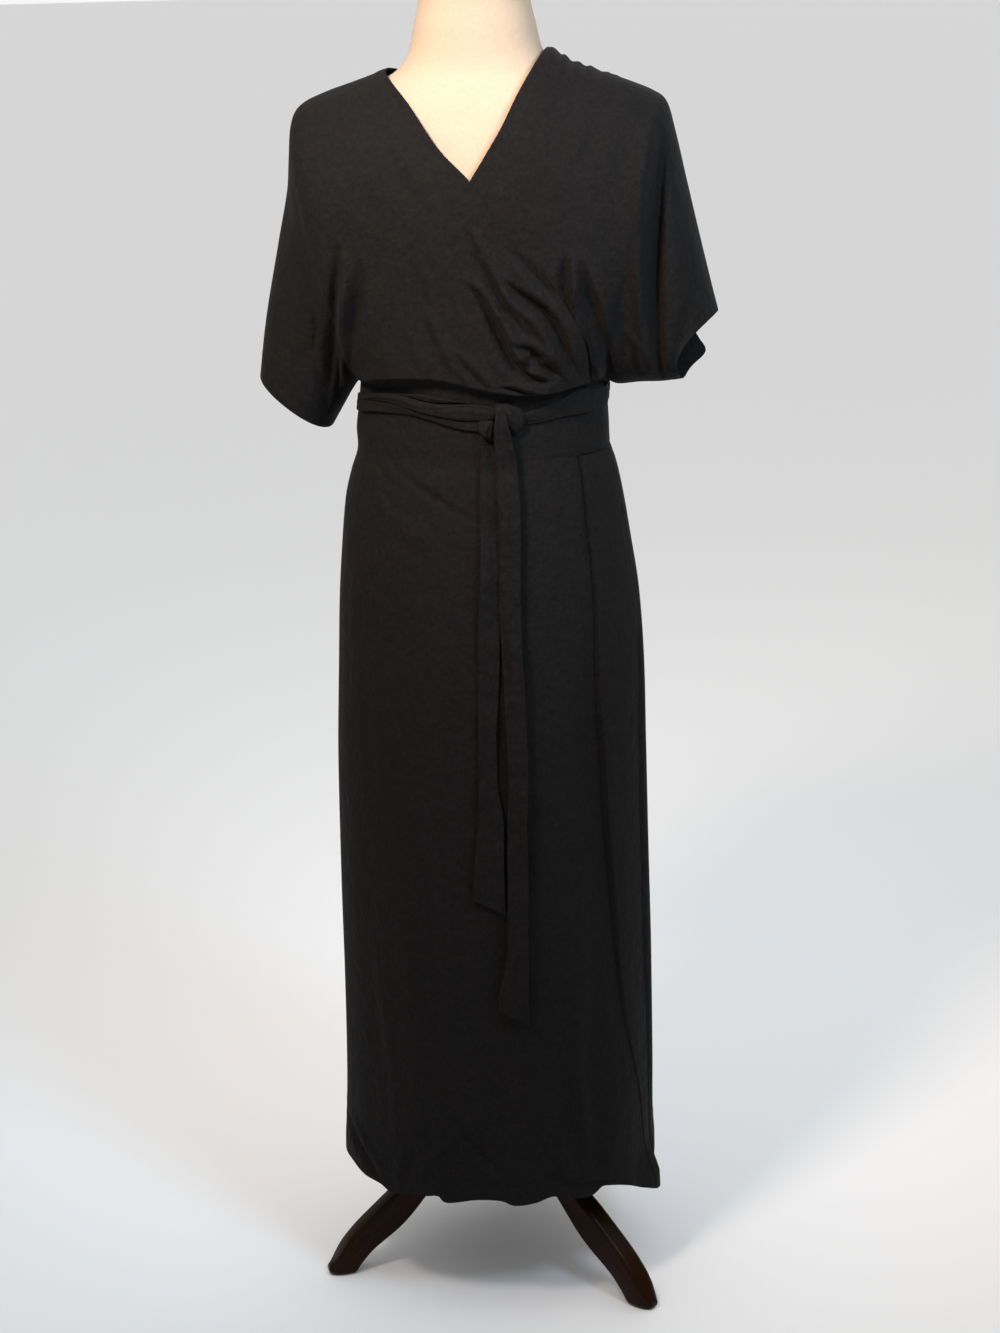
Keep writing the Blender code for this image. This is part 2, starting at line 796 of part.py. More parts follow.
def main():
    for old in list(bpy.data.objects):
        bpy.data.objects.remove(old)

    make_tube("form_torso", form_skin, len(FORM) - 1, 32, CREAM_JERSEY)

    flange_top = FORM[0][0] * MM - SEAM_GAP
    flange_bottom = flange_top - FLANGE_THICKNESS
    flange = (
        (FLANGE_RADIUS, flange_bottom),
        (FLANGE_RADIUS, flange_top),
    )
    make_tube("stand_flange", turned(flange), 1, 24, BLACK_STEEL)
    pole = (
        (POLE_RADIUS, HUB_TOP + SEAM_GAP),
        (POLE_RADIUS, flange_bottom - SEAM_GAP),
    )
    make_tube("stand_pole", turned(pole), 1, 20, BLACK_STEEL)
    hub = (
        (HUB_RADIUS * 0.7, HUB_BOTTOM),
        (HUB_RADIUS * 0.95, HUB_BOTTOM + 0.006),
        (HUB_RADIUS, HUB_BOTTOM + 0.014),
        (HUB_RADIUS, HUB_TOP - 0.012),
        (HUB_RADIUS * 0.92, HUB_TOP - 0.004),
        (HUB_RADIUS * 0.75, HUB_TOP),
    )
    make_tube("stand_hub", turned(hub), len(hub) - 1, 24, DARK_WOOD)
    for name, angle in zip(("leg_right", "leg_left", "leg_rear"), LEG_ANGLES):
        make_tube(name, leg_skin(angle), len(LEG) - 1, 8, DARK_WOOD)

    make_wall("bodice_front_right", front_over, RIGHT_FRONT_COLUMNS, BODICE_ROWS, BLACK_CREPE, facing=-1)
    make_wall("bodice_front_left", front_under, LEFT_FRONT_COLUMNS, BODICE_ROWS, BLACK_CREPE, facing=-1)
    make_wall("bodice_back", bodice_back, BACK_COLUMNS, BODICE_ROWS, BLACK_CREPE, facing=1)

    make_wall("waistband_over", band_piece(-90 + 0.06, OVER_END_ANGLE, band_lift), 22, 3, BLACK_CREPE)
    make_wall("waistband_under", band_piece(UNDER_END_ANGLE, 90 - 0.06, lambda angle: 0), 18, 3, BLACK_CREPE)
    make_wall("waistband_back", band_piece(90 + 0.06, 270 - 0.06, lambda angle: 0), 24, 3, BLACK_CREPE)

    make_wall("skirt_front_over", skirt_over, SKIRT_OVER_COLUMNS, 18, BLACK_CREPE)
    make_wall("skirt_front_under", skirt_under, 16, 12, BLACK_CREPE)
    make_wall("skirt_back", skirt_back, 28, 14, BLACK_CREPE)

    make_tube("belt_right_upper", belt_stretch(BELT_RIGHT_UPPER), 13, 8, BLACK_CREPE)
    make_tube("belt_right_lower", belt_stretch(BELT_RIGHT_LOWER), 12, 8, BLACK_CREPE)
    make_tube("belt_left", belt_stretch(BELT_LEFT), 11, 8, BLACK_CREPE)
    make_tube("belt_back", belt_stretch(BELT_BACK), 28, 8, BLACK_CREPE)
    make_tube("belt_knot_loop", knot_piece(KNOT_LOOP), 7, 12, BLACK_CREPE)
    make_tube("belt_knot_turn", knot_piece(KNOT_TURN), 6, 10, BLACK_CREPE)
    make_wall("belt_tail_long", tail(LONG_TAIL), 4, 18, BLACK_CREPE, TAIL_THICKNESS)
    make_wall("belt_tail_short", tail(SHORT_TAIL), 4, 15, BLACK_CREPE, TAIL_THICKNESS)


main()
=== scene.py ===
import math

import bmesh
import bpy
import numpy as np
from mathutils import Matrix, Vector


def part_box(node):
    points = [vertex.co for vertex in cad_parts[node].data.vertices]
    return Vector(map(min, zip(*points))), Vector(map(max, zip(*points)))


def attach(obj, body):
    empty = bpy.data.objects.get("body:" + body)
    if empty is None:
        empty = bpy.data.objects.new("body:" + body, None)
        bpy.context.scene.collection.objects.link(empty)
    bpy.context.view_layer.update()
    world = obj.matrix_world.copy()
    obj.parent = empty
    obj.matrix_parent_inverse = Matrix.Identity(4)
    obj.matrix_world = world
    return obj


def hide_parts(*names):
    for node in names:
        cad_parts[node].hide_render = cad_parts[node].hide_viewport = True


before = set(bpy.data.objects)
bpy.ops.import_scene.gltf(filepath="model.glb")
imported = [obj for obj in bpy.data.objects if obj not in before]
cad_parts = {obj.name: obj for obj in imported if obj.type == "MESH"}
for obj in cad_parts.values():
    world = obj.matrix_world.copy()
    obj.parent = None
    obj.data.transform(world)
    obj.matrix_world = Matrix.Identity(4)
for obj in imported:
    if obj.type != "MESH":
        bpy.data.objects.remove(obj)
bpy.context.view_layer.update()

# Metres, floor at z = 0, the dress faces -Y and the wearer's left is +X. Tables are in millimetres,
# counted from the foot of the pole's axis.
MM = 0.001
pole_low, pole_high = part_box("stand_pole")
POLE = Vector(((pole_low.x + pole_high.x) / 2, (pole_low.y + pole_high.y) / 2, 0))


# Camera
# The photo's eye stands 2.6 m in front of the pole, 8 degrees round to the wearer's left, a little lower
# than the neck, and looks down at the waist.

EYE_AZIMUTH = math.radians(8)
EYE_DISTANCE = 2.6
EYE_HEIGHT = 1.48
EYE_ASIDE = 0.009
EYE_PITCH = math.radians(16.05)
EYE_ROLL = math.radians(1.5)
PHOTO_HEIGHT = 1333
FOCAL_PIXELS = 2377

ahead = Vector((-math.sin(EYE_AZIMUTH), math.cos(EYE_AZIMUTH), 0))
aside = Vector((ahead.y, -ahead.x, 0))
camera_data = bpy.data.cameras.new("camera")
camera_data.lens = camera_data.sensor_width * FOCAL_PIXELS / PHOTO_HEIGHT
camera = bpy.data.objects.new("camera", camera_data)
bpy.context.collection.objects.link(camera)
eye = POLE - ahead * EYE_DISTANCE + aside * EYE_ASIDE + Vector((0, 0, EYE_HEIGHT))
view = ahead * math.cos(EYE_PITCH) - Vector((0, 0, math.sin(EYE_PITCH)))
turn = view.to_track_quat("-Z", "Y").to_matrix().to_4x4()
camera.matrix_world = Matrix.Translation(eye) @ turn @ Matrix.Rotation(-EYE_ROLL, 4, "Z")
bpy.context.scene.camera = camera


# Floor and light
# A pale seamless floor under a studio ceiling, with a white paper wall behind the dress. A soft warm key
# stands close to the upper left of the picture and a cooler fill to its right, as the cloth's tones show.

FLOOR_HALF_SIZE = 400
# Share of the way from straight down to straight up, grey of the studio there
STUDIO_WALLS = ((0, 0.30), (0.5, 0.66), (0.58, 0.16), (0.78, 0.24), (0.9, 0.85), (1, 1.4))
PAPER_WHITE = (0.93, 0.93, 0.93)
# How far towards the back the paper wall starts, and from where it hides the studio
PAPER_FROM, PAPER_TO = 0.45, 0.85


class Value:
    """A socket of a node tree, on which sums, products and powers add their own Math nodes."""

    def __init__(self, tree, socket):
        self.tree = tree
        self.socket = socket

    def math(self, operation, first, second):
        return Value(self.tree, node(self.tree, "ShaderNodeMath", {"operation": operation}, first, second))

    def __add__(self, other):
        return self.math("ADD", self, other)

    def __sub__(self, other):
        return self.math("SUBTRACT", self, other)

    def __rsub__(self, other):
        return self.math("SUBTRACT", other, self)

    def __mul__(self, other):
        return self.math("MULTIPLY", self, other)

    def __pow__(self, other):
        return self.math("POWER", self, other)

    def __rpow__(self, other):
        return self.math("POWER", other, self)

    __radd__ = __add__
    __rmul__ = __mul__


def connect(tree, socket, value):
    """Gives a socket a link or a constant."""
    value = value.socket if isinstance(value, Value) else value
    if isinstance(value, bpy.types.NodeSocket):
        tree.links.new(value, socket)
    else:
        socket.default_value = value


def node(tree, kind, settings, *values, output=0, **named):
    """Adds one node: its settings first, then the values or links of its sockets, and gives an output."""
    made = tree.nodes.new(kind)
    for key, value in settings.items():
        if key == "stops":
            ramp = made.color_ramp.elements
            while len(ramp) < len(value):
                ramp.new(0.5)
            for stop, (place, grey) in zip(ramp, value):
                stop.position = place
                stop.color = (grey, grey, grey, 1)
        else:
            setattr(made, key, value)
    for index, value in enumerate(values):
        connect(tree, made.inputs[index], value)
    for name, value in named.items():
        connect(tree, made.inputs[name.replace("_", " ")], value)
    return made.outputs[output]


def mixed(tree, share, first, second):
    """A colour between two, by share. The colours are RGB constants or links."""
    made = tree.nodes.new("ShaderNodeMix")
    made.data_type = "RGBA"
    connect(tree, made.inputs["Factor"], share)
    sockets = [socket for socket in made.inputs if socket.type == "RGBA"]
    for socket, colour in zip(sockets, (first, second)):
        connect(tree, socket, (*colour, 1) if isinstance(colour, tuple) else colour)
    return next(socket for socket in made.outputs if socket.type == "RGBA")


def finish(name, constants, paint=None):
    """A Principled material. paint(tree, place) gives the sockets that change over the surface."""
    material = bpy.data.materials.new(name)
    material.use_nodes = True
    tree = material.node_tree
    shader = tree.nodes["Principled BSDF"]
    for key, value in constants.items():
        shader.inputs[key].default_value = value
    if paint:
        place = node(tree, "ShaderNodeTexCoord", {}, output="Object")
        for key, value in paint(tree, place).items():
            connect(tree, shader.inputs[key], value)
    return material


def new_object(name, mesh, material):
    """An object made from a bmesh, which is freed."""
    data = bpy.data.meshes.new(name)
    mesh.to_mesh(data)
    mesh.free()
    data.materials.append(material)
    obj = bpy.data.objects.new(name, data)
    bpy.context.collection.objects.link(obj)
    return obj


floor_mesh = bmesh.new()
bmesh.ops.create_grid(floor_mesh, x_segments=1, y_segments=1, size=FLOOR_HALF_SIZE)
pale_floor = finish("pale_floor", {"Base Color": (0.91, 0.91, 0.91, 1), "Roughness": 0.9})
floor = new_object("floor", floor_mesh, pale_floor)

bpy.context.scene.view_settings.view_transform = "Standard"
world = bpy.data.worlds.new("studio")
world.use_nodes = True
tree = world.node_tree
direction = node(tree, "ShaderNodeTexCoord", {}, output="Generated")
upwards = node(tree, "ShaderNodeSeparateXYZ", {}, direction, output="Z")
backwards = node(tree, "ShaderNodeSeparateXYZ", {}, direction, output="Y")
share_up = node(tree, "ShaderNodeMapRange", {}, upwards, From_Min=-1)
walls = node(tree, "ShaderNodeValToRGB", {"stops": STUDIO_WALLS}, share_up)
behind = node(tree, "ShaderNodeMapRange", {"interpolation_type": "SMOOTHSTEP"}, backwards,
              From_Min=PAPER_FROM, From_Max=PAPER_TO)
studio = mixed(tree, behind, walls, PAPER_WHITE)
connect(tree, tree.nodes["Background"].inputs["Color"], studio)
bpy.context.scene.world = world

# Name, place, point it is aimed at, size, spread in degrees, watts, colour
for name, place, target, size, spread, watts, colour in (
    ("key", (-0.42, -1.02, 2.05), (0, 0, 1.20), 0.34, 70, 4.7, (1.0, 0.86, 0.76)),
    ("fill", (0.95, -1.0, 1.9), (0, 0, 1.16), 0.5, 80, 4.3, (0.62, 0.80, 1.0)),
    ("back", (0.8, 2.6, 2.4), (0, 0, 0.9), 1.6, 180, 2.5, (1.0, 1.0, 1.0)),
):
    lamp = bpy.data.lights.new(name, "AREA")
    lamp.shape = "DISK"
    lamp.size = size
    lamp.spread = math.radians(spread)
    lamp.energy = watts
    lamp.color = colour
    lamp_object = bpy.data.objects.new(name, lamp)
    lamp_object.location = place
    lamp_object.rotation_euler = (Vector(target) - Vector(place)).to_track_quat("-Z", "Y").to_euler()
    lamp_object.visible_camera = False
    bpy.context.collection.objects.link(lamp_object)


# Dress form
# A limbless display form of light padding on a hard shell, under a cover of cream jersey. The cover is
# stretched on smooth, with a seam down each side that runs up the neck.


def noise(tree, place, scale, detail=2.0, roughness=0.5, stretch=(1, 1, 1)):
    """Smooth noise from 0 to 1, with so many cells a metre along each axis."""
    placed = node(tree, "ShaderNodeMapping", {}, place, Scale=[scale * share for share in stretch])
    return Value(tree, node(tree, "ShaderNodeTexNoise", {}, Vector=placed, Scale=1.0, Detail=detail,
                            Roughness=roughness))


def bump(tree, height, depth, strength, **under):
    return node(tree, "ShaderNodeBump", {}, Strength=strength, Distance=depth, Height=height,
                output="Normal", **under)


def curve(table, place):
    """The columns of a table at places given in its first column, on a smooth curve through its rows."""
    rows = np.array(table, float)
    places = rows[:, 0]
    place = np.clip(place, places[0], places[-1])
    upper = np.clip(np.searchsorted(places, place, side="right"), 1, len(places) - 1)
    lower = upper - 1
    before, after = np.maximum(lower - 1, 0), np.minimum(upper + 1, len(places) - 1)
    span = places[upper] - places[lower]
    t = (place - places[lower]) / span
    columns = []
    for column in rows.T[1:]:
        start, end = column[lower], column[upper]
        leave = span * (end - column[before]) / (places[upper] - places[before])
        arrive = span * (column[after] - start) / (places[after] - places[lower])
        columns.append(start * (1 - t) ** 2 * (1 + 2 * t) + end * t * t * (3 - 2 * t)
                       + leave * t * (1 - t) ** 2 - arrive * t * t * (1 - t))
    return columns


def bell(distance, half_width):
    """1 at no distance, about a third at the half width, and next to 0 at twice that."""
    return np.exp(-((distance / half_width) ** 2))


def signed_power(value, power):
    return np.sign(value) * np.abs(value) ** power


def make_piece(name, mesh, material, material_slot, *replaced):
    """A finished piece on the root body, which stands for its nodes."""
    obj = new_object(name, mesh, material)
    obj.data.shade_smooth()
    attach(obj, "root")
    if replaced:
        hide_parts(*replaced)
    return obj


def surface_grid(surface, columns, rows):
    """A grid whose points follow surface(across, down) in mm, both from 0 to 1, with a UV map of them."""
    mesh = bmesh.new()
    mesh.loops.layers.uv.new("UVMap")
    bmesh.ops.create_grid(mesh, x_segments=columns, y_segments=rows, size=1, calc_uvs=True)
    across, down = (np.array([(vert.co[axis] + 1) / 2 for vert in mesh.verts]) for axis in (0, 1))
    for vert, point in zip(mesh.verts, surface(across, down) * MM + np.array(POLE)):
        vert.co = point
    return mesh


def close_tube(mesh):
    """Joins the two long edges of a tube and fills its ends."""
    bmesh.ops.remove_doubles(mesh, verts=mesh.verts, dist=1e-6)
    bmesh.ops.holes_fill(mesh, edges=mesh.edges)
    bmesh.ops.recalc_face_normals(mesh, faces=mesh.faces)
    if mesh.calc_volume(signed=True) < 0:
        bmesh.ops.reverse_faces(mesh, faces=mesh.faces)


# Power of the rounded ellipse that the form and the skirt have across
ROUNDNESS = 2.25
SEAM_RIDGE = 0.9
SEAM_RIDGE_WIDTH = 1.4
# Height, half width, depth to the front, depth to the back
FORM = (
    (745, 146, 104, 106), (748, 153, 111, 113), (756, 157, 115, 117), (780, 159, 117, 120),
    (820, 158, 117, 120), (880, 152, 112, 113), (940, 145, 106, 103), (990, 135.3, 100, 93),
    (1025, 133.4, 98.2, 90.2), (1050, 132.6, 97.6, 89.6), (1080, 132.6, 97.6, 87), (1120, 137, 100, 87),
    (1160, 144, 104, 88), (1210, 153, 107, 90), (1250, 162, 106, 91), (1290, 170, 100, 89),
    (1325, 174, 91, 83), (1342, 168, 85, 78), (1356, 155, 80, 74), (1369, 131, 74, 67), (1381, 107, 68, 61),
    (1391, 87, 63, 57), (1403, 76, 60, 56), (1416, 69.5, 59, 56), (1438, 64.5, 58, 57), (1462, 59, 55, 55),
    (1496, 57.5, 54, 54), (1502, 55.5, 52, 52), (1505, 51, 48, 48),
)


def form_surface(along, around):
    """The form's skin, a little proud along the cover's two side seams."""
    rows = along * (len(FORM) - 1)
    height = np.interp(rows, np.arange(len(FORM)), [row[0] for row in FORM])
    half_width, front, back = curve(FORM, height)
    angle = math.tau * (around % 1)
    x = signed_power(np.sin(angle), 2 / ROUNDNESS)
    y = -signed_power(np.cos(angle), 2 / ROUNDNESS)
    depth = np.where(y < 0, front, back)
    from_seam = np.minimum(np.abs(angle - math.pi / 2), np.abs(angle - 1.5 * math.pi)) * half_width
    ridge = 1 + SEAM_RIDGE * bell(from_seam, SEAM_RIDGE_WIDTH) / half_width
    return np.stack((x * half_width * ridge, y * depth * ridge, height), axis=-1)


def jersey_paint(tree, place):
    """Cream cotton jersey: fine columns of stitches, soft blotches and a little lint."""
    columns = noise(tree, place, 900, 1, stretch=(1.6, 1.6, 0.8))
    patches = noise(tree, place, 9, 3)
    lint = noise(tree, place, 260, 2)
    colour = mixed(tree, patches, (0.40, 0.285, 0.19), (0.46, 0.34, 0.235))
    colour = mixed(tree, lint * 0.35, colour, (0.55, 0.47, 0.37))
    return {"Base Color": colour, "Normal": bump(tree, columns, 0.0006, 0.5)}


jersey = finish("cream_jersey", {"Roughness": 0.9, "Sheen Weight": 0.12, "Sheen Roughness": 0.4,
                                 "Specular IOR Level": 0.2}, jersey_paint)
form_mesh = surface_grid(form_surface, 220, 128)
close_tube(form_mesh)
make_piece("form", form_mesh, jersey, "jersey", "form_torso")


# Stand
# Three curved boards of dark mahogany with bevelled edges under gloss varnish, tenoned into a turned hub,
# and a black steel tube with a round flange under the form.

# Angle of each leg and how far its toe reaches from the pole's axis
LEGS = {"leg_right": (-155.5, 224), "leg_left": (-36, 234), "leg_rear": (83, 229)}
LEG_HALF_THICKNESS = 13.5
# Distance from the pole's axis, underside, upper side, share of the full thickness
LEG = (
    (30.2, 150, 188, 1), (50, 138, 180, 1), (75, 117, 161, 1), (100, 90, 135, 1), (113, 75, 121, 1),
    (125, 62, 109, 1), (140, 49, 98, 1), (156, 38, 85, 1), (173, 26, 71, 1), (187, 12, 59, 1),
    (197, 0, 49, 1), (205, 0, 40, 1), (213, 0, 29, 0.95), (221, 0, 17, 0.75), (227, 3, 10, 0.45),
)
# Distances between which a leg is drawn out to its own reach
LEG_DRAWN_FROM, LEG_DRAWN_TO = 60, 200
LEG_CHAMFER = 4
# Corners round a leg's section: side, whether on a broad side's edge, whether on the upper half
LEG_CORNERS = np.array((
    (1, 1, 0), (1, 0, 0), (1, 0, 1), (1, 1, 1), (-1, 1, 1), (-1, 0, 1), (-1, 0, 0), (-1, 1, 0),
))


def smooth(value, start, end):
    """From 0 at the start to 1 at the end, level at both."""
    t = np.clip((value - start) / (end - start), 0, 1)
    return t * t * (3 - 2 * t)


def leg_surface(angle, reach):
    """One leg, upright on its own run: eight long faces, of which the four small ones are the bevels."""
    run = np.array((math.cos(math.radians(angle)), math.sin(math.radians(angle)), 0))
    beside = np.array((-run[1], run[0], 0))

    def surface(along, around):
        distance = np.interp(along, np.linspace(0, 1, len(LEG)), [row[0] for row in LEG])
        low, high, share = curve(LEG, distance)
        low = np.maximum(low, 0)
        half = LEG_HALF_THICKNESS * share
        out = distance + (reach - LEG[-1][0]) * smooth(distance, LEG_DRAWN_FROM, LEG_DRAWN_TO)
        cut = np.minimum(LEG_CHAMFER, np.minimum((high - low) * 0.3, half * 0.6))
        corner = np.rint(around * len(LEG_CORNERS)).astype(int) % len(LEG_CORNERS)
        side, inset, upper = LEG_CORNERS[corner].T
        height = np.where(upper, high - cut * (1 - inset), low + cut * (1 - inset))
        width = side * (half - cut * inset)
        return run * out[:, None] + beside * width[:, None] + np.array((0, 0, 1)) * height[:, None]

    return surface


def mahogany_paint(tree, place):
    """Red-brown stain over a straight grain that follows the board, with darker pores."""
    along = node(tree, "ShaderNodeUVMap", {"uv_map": "UVMap"})
    grain = noise(tree, along, 1, 4, 0.6, stretch=(5, 70, 1))
    pores = noise(tree, along, 1, 2, 0.6, stretch=(30, 260, 1))
    worn = noise(tree, place, 35, 3)
    colour = mixed(tree, grain ** 1.6, (0.005, 0.0017, 0.0006), (0.038, 0.0120, 0.0030))
    colour = mixed(tree, pores * 0.35, colour, (0.003, 0.001, 0.0006))
    return {"Base Color": colour, "Roughness": worn * 0.16 + 0.26, "Normal": bump(tree, pores, 0.0003, 0.25)}


mahogany = finish("mahogany_varnish", {"Coat Weight": 0.06, "Coat Roughness": 0.08,
                                       "Specular IOR Level": 0.05}, mahogany_paint)
for name, (angle, reach) in LEGS.items():
    leg_mesh = surface_grid(leg_surface(angle, reach), 60, len(LEG_CORNERS))
    close_tube(leg_mesh)
    leg = make_piece("board_" + name, leg_mesh, mahogany, "mahogany", name)
    round_over = leg.modifiers.new("rounded", "BEVEL")
    round_over.width = 0.0012
    round_over.segments = 2
    round_over.limit_method = "ANGLE"
    round_over.angle_limit = math.radians(25)


def cad_round(node_name):
    """Radius, bottom and top in mm of a round CAD node."""
    low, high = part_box(node_name)
    return (high.x - low.x) / 2 / MM, low.z / MM, high.z / MM


def turned_piece(name, outline, material, material_slot):
    """A turned piece: its outline is spun round the pole's axis and closed at both ends."""
    mesh = bmesh.new()
    mesh.loops.layers.uv.new("UVMap")
    verts = [mesh.verts.new(POLE + Vector((radius, 0, height)) * MM) for radius, height in outline]
    edges = [mesh.edges.new(pair) for pair in zip(verts, verts[1:])]
    bmesh.ops.spin(mesh, geom=verts + edges, cent=POLE, axis=(0, 0, 1), angle=math.tau, steps=64,
                   use_merge=True)
    close_tube(mesh)
    obj = make_piece(name, mesh, material, material_slot, "stand_" + name)
    obj.data.set_sharp_from_angle(angle=math.radians(35))


def stain_paint(tree, place):
    """The same stain on turned wood, whose grain stands upright."""
    grain = noise(tree, place, 1, 4, 0.6, stretch=(160, 160, 14))
    colour = mixed(tree, grain ** 1.6, (0.006, 0.0022, 0.0014), (0.034, 0.012, 0.006))
    return {"Base Color": colour, "Roughness": grain * 0.12 + 0.18}


def steel_paint(tree, place):
    """Black satin paint, slightly orange-peeled."""
    peel = noise(tree, place, 420, 2)
    colour = mixed(tree, noise(tree, place, 40, 3), (0.012, 0.012, 0.014), (0.030, 0.030, 0.033))
    return {"Base Color": colour, "Roughness": peel * 0.15 + 0.28, "Normal": bump(tree, peel, 0.0002, 0.2)}


stained_hub = finish("mahogany_turned", {"Coat Weight": 0.12, "Coat Roughness": 0.14,
                                         "Specular IOR Level": 0.2}, stain_paint)
black_steel = finish("black_satin_steel", {"Specular IOR Level": 0.6}, steel_paint)
radius, bottom, top = cad_round("stand_hub")
turned_piece("hub", (
    (radius * 0.70, bottom), (radius * 0.95, bottom + 6), (radius, bottom + 14), (radius, bottom + 24),
    (radius * 0.975, bottom + 25.5), (radius, bottom + 27), (radius, top - 14), (radius * 0.92, top - 4),
    (radius * 0.75, top),
), stained_hub, "mahogany")
radius, bottom, top = cad_round("stand_pole")
turned_piece("pole", ((radius, bottom), (radius, top)), black_steel, "steel")
radius, bottom, top = cad_round("stand_flange")
turned_piece("flange", ((radius - 1, bottom), (radius, bottom + 1), (radius, top)), black_steel, "steel")


# Waistband
# A 72 mm band of double crepe round the waist: the over piece wraps from the right side seam to the left,
# over the under piece. It joins the bodice and the skirt.

CLOTH = 1.1
LAYER_STEP = 3.4
BAND_TOP, BAND_BOTTOM = 1062, 990
BAND_ROWS = 24
# Millimetres to a degree round the waist
WAIST_ARC = 2.3
# Angles from the front at which the over piece and the under piece end
OVER_END_ANGLE, UNDER_END_ANGLE = 76, -38
SEAM_DIP = 0.9
SEAM_HALF_WIDTH = 2.2
# Height, half widths to the left and right of the picture, depth to the front, depth to the back
RINGS = (
    (130, 185, 179, 163, 154), (160, 184.5, 177, 161, 153), (250, 179.5, 178, 158, 151),
    (370, 177, 177.5, 155, 150), (500, 177, 175.5, 152, 149), (640, 175, 173.5, 148, 147),
    (744, 170.5, 172, 142, 143), (824, 167, 167, 134, 135), (880, 162.5, 159, 125, 125),
    (937, 156, 150, 114, 112), (968, 148, 143.5, 108, 103), (990, 140.5, 137, 103, 96),
    (1015, 140.5, 136, 102, 94), (1040, 137, 134.5, 100, 92), (1062, 134.5, 134.5, 100, 92),
)


def ring(angle, height, out=0.0):
    """Points of the waist's and skirt's rings: angle in degrees from the front, height and out in mm."""
    left, right, front, back = curve(RINGS, height)
    turn = np.radians(angle)
    half_width = np.where(np.sin(turn) > 0, right, left)
    depth = np.where(np.cos(turn) > 0, front, back)
    x = signed_power(np.sin(turn), 2 / ROUNDNESS)
    y = -signed_power(np.cos(turn), 2 / ROUNDNESS)
    normal = np.stack((signed_power(x, ROUNDNESS - 1) / half_width,
                       signed_power(y, ROUNDNESS - 1) / depth), axis=-1)
    normal /= np.linalg.norm(normal, axis=-1, keepdims=True)
    return np.stack((x * half_width + normal[..., 0] * out, y * depth + normal[..., 1] * out,
                     np.broadcast_to(height, np.shape(x))), axis=-1)


def ripple(x, z, size, seed):
    """Slow waves between -1 and 1, of about this size in mm, that never fall into step."""
    total = np.zeros_like(x)
    waves = 6
    for index in range(waves):
        way = seed * 1.7 + index * 2.4
        pitch = math.tau / (size * (0.75 + 0.17 * index))
        total += np.sin((x * math.cos(way) + z * math.sin(way)) * pitch + seed * 3.1 + index * 1.3)
    return total / waves


def crepe_paint(tree, place):
    """Matt black crepe: a pebbled surface of hard-twisted yarn, faint nap and slow changes of black."""
    pebble = noise(tree, place, 1500, 2, 0.6)
    yarn = noise(tree, place, 620, 2, 0.5)
    patches = noise(tree, place, 7, 3)
    mottle = noise(tree, place, 210, 3, 0.65)
    rumples = noise(tree, place, 48, 5, 0.62, stretch=(1.0, 1.0, 0.7))
    shade = patches * 0.5 + mottle * 1.7 - 0.6
    colour = mixed(tree, shade, (0.0033, 0.0029, 0.0027), (0.0098, 0.0086, 0.0081))
    colour = mixed(tree, yarn * 0.3, colour, (0.0115, 0.0104, 0.0100))
    weave = bump(tree, pebble * 0.6 + yarn * 0.4, 0.0005, 0.55)
    return {"Base Color": colour, "Roughness": patches * 0.10 + 0.74,
            "Normal": bump(tree, rumples, 0.0055, 0.8, Normal=weave)}


crepe = finish("black_crepe", {"Sheen Weight": 0.008, "Sheen Roughness": 0.5, "Specular IOR Level": 0.07},
               crepe_paint)


def cloth_piece(name, surface, columns, rows, node_name, thickness=CLOTH):
    """A thin shell of crepe whose middle follows surface(across, down)."""
    mesh = surface_grid(surface, columns, rows)
    for edge in mesh.edges:
        edge.smooth = not edge.is_boundary
    obj = make_piece(name, mesh, crepe, "crepe", node_name)
    shell = obj.modifiers.new("cloth", "SOLIDIFY")
    shell.thickness = thickness * MM
    shell.offset = 0
    return obj


def waist_seam(angle, distance):
    """The dip along the waist seam, pressed almost flat on the right of the front."""
    return -SEAM_DIP * bell(distance, SEAM_HALF_WIDTH) * np.where(
        angle < 90, 0.05 + 0.95 * smooth(angle, 12, 48), 0.8)


def band_lift(angle):
    """How far the over layer stands out, from its side seam to where it lies over the under layer."""
    return LAYER_STEP * smooth(angle, -90, -62)


def band_surface(start, end, lift, seed):
    def surface(across, down):
        angle = start + (end - start) * across
        height = BAND_TOP + (BAND_BOTTOM - BAND_TOP) * down
        out = lift(angle) + waist_seam(angle, height - BAND_BOTTOM)
        uneven = 0.35 * ripple(angle * WAIST_ARC, height, 55, seed)
        out += uneven * smooth(height, BAND_BOTTOM, BAND_BOTTOM + 14)
        return ring(angle, height, out)

    return surface


for name, start, end, lift, seed, columns, node_name, length in (
    ("band_over", -90.0, OVER_END_ANGLE, band_lift, 1, 120, "waistband_over", 0.345),
    ("band_under", UNDER_END_ANGLE, 90.0, np.zeros_like, 2, 90, "waistband_under", 0.255),
    ("band_back", 90.0, 270.0, np.zeros_like, 3, 130, "waistband_back", 0.365),
):
    band = cloth_piece(name, band_surface(start, end, lift, seed), columns, BAND_ROWS, node_name)


# Skirt
# Three long panels of crepe that hang from the waistband to the shin. The over panel has one knife pleat
# near the wearer's left side, pressed at the hip and open towards the hem, and its free edge beside it.

# Height, angle of the knife pleat's edge, depth and spread of the trough beside it
PLEAT = (
    (130, 77, 0.6, 20), (250, 69, 1.2, 18), (314, 61.5, 1.4, 16), (354, 57.5, 2, 14), (417, 54.5, 3, 13),
    (494, 52.5, 4.4, 12), (598, 50, 6, 11), (651, 49.3, 5.5, 10), (695, 47.8, 5, 9), (754, 47, 3.5, 7),
    (811, 47.8, 2, 5), (869, 48.8, 1.2, 4), (924, 49, 0.8, 3), (990, 51, 0.6, 3),
)
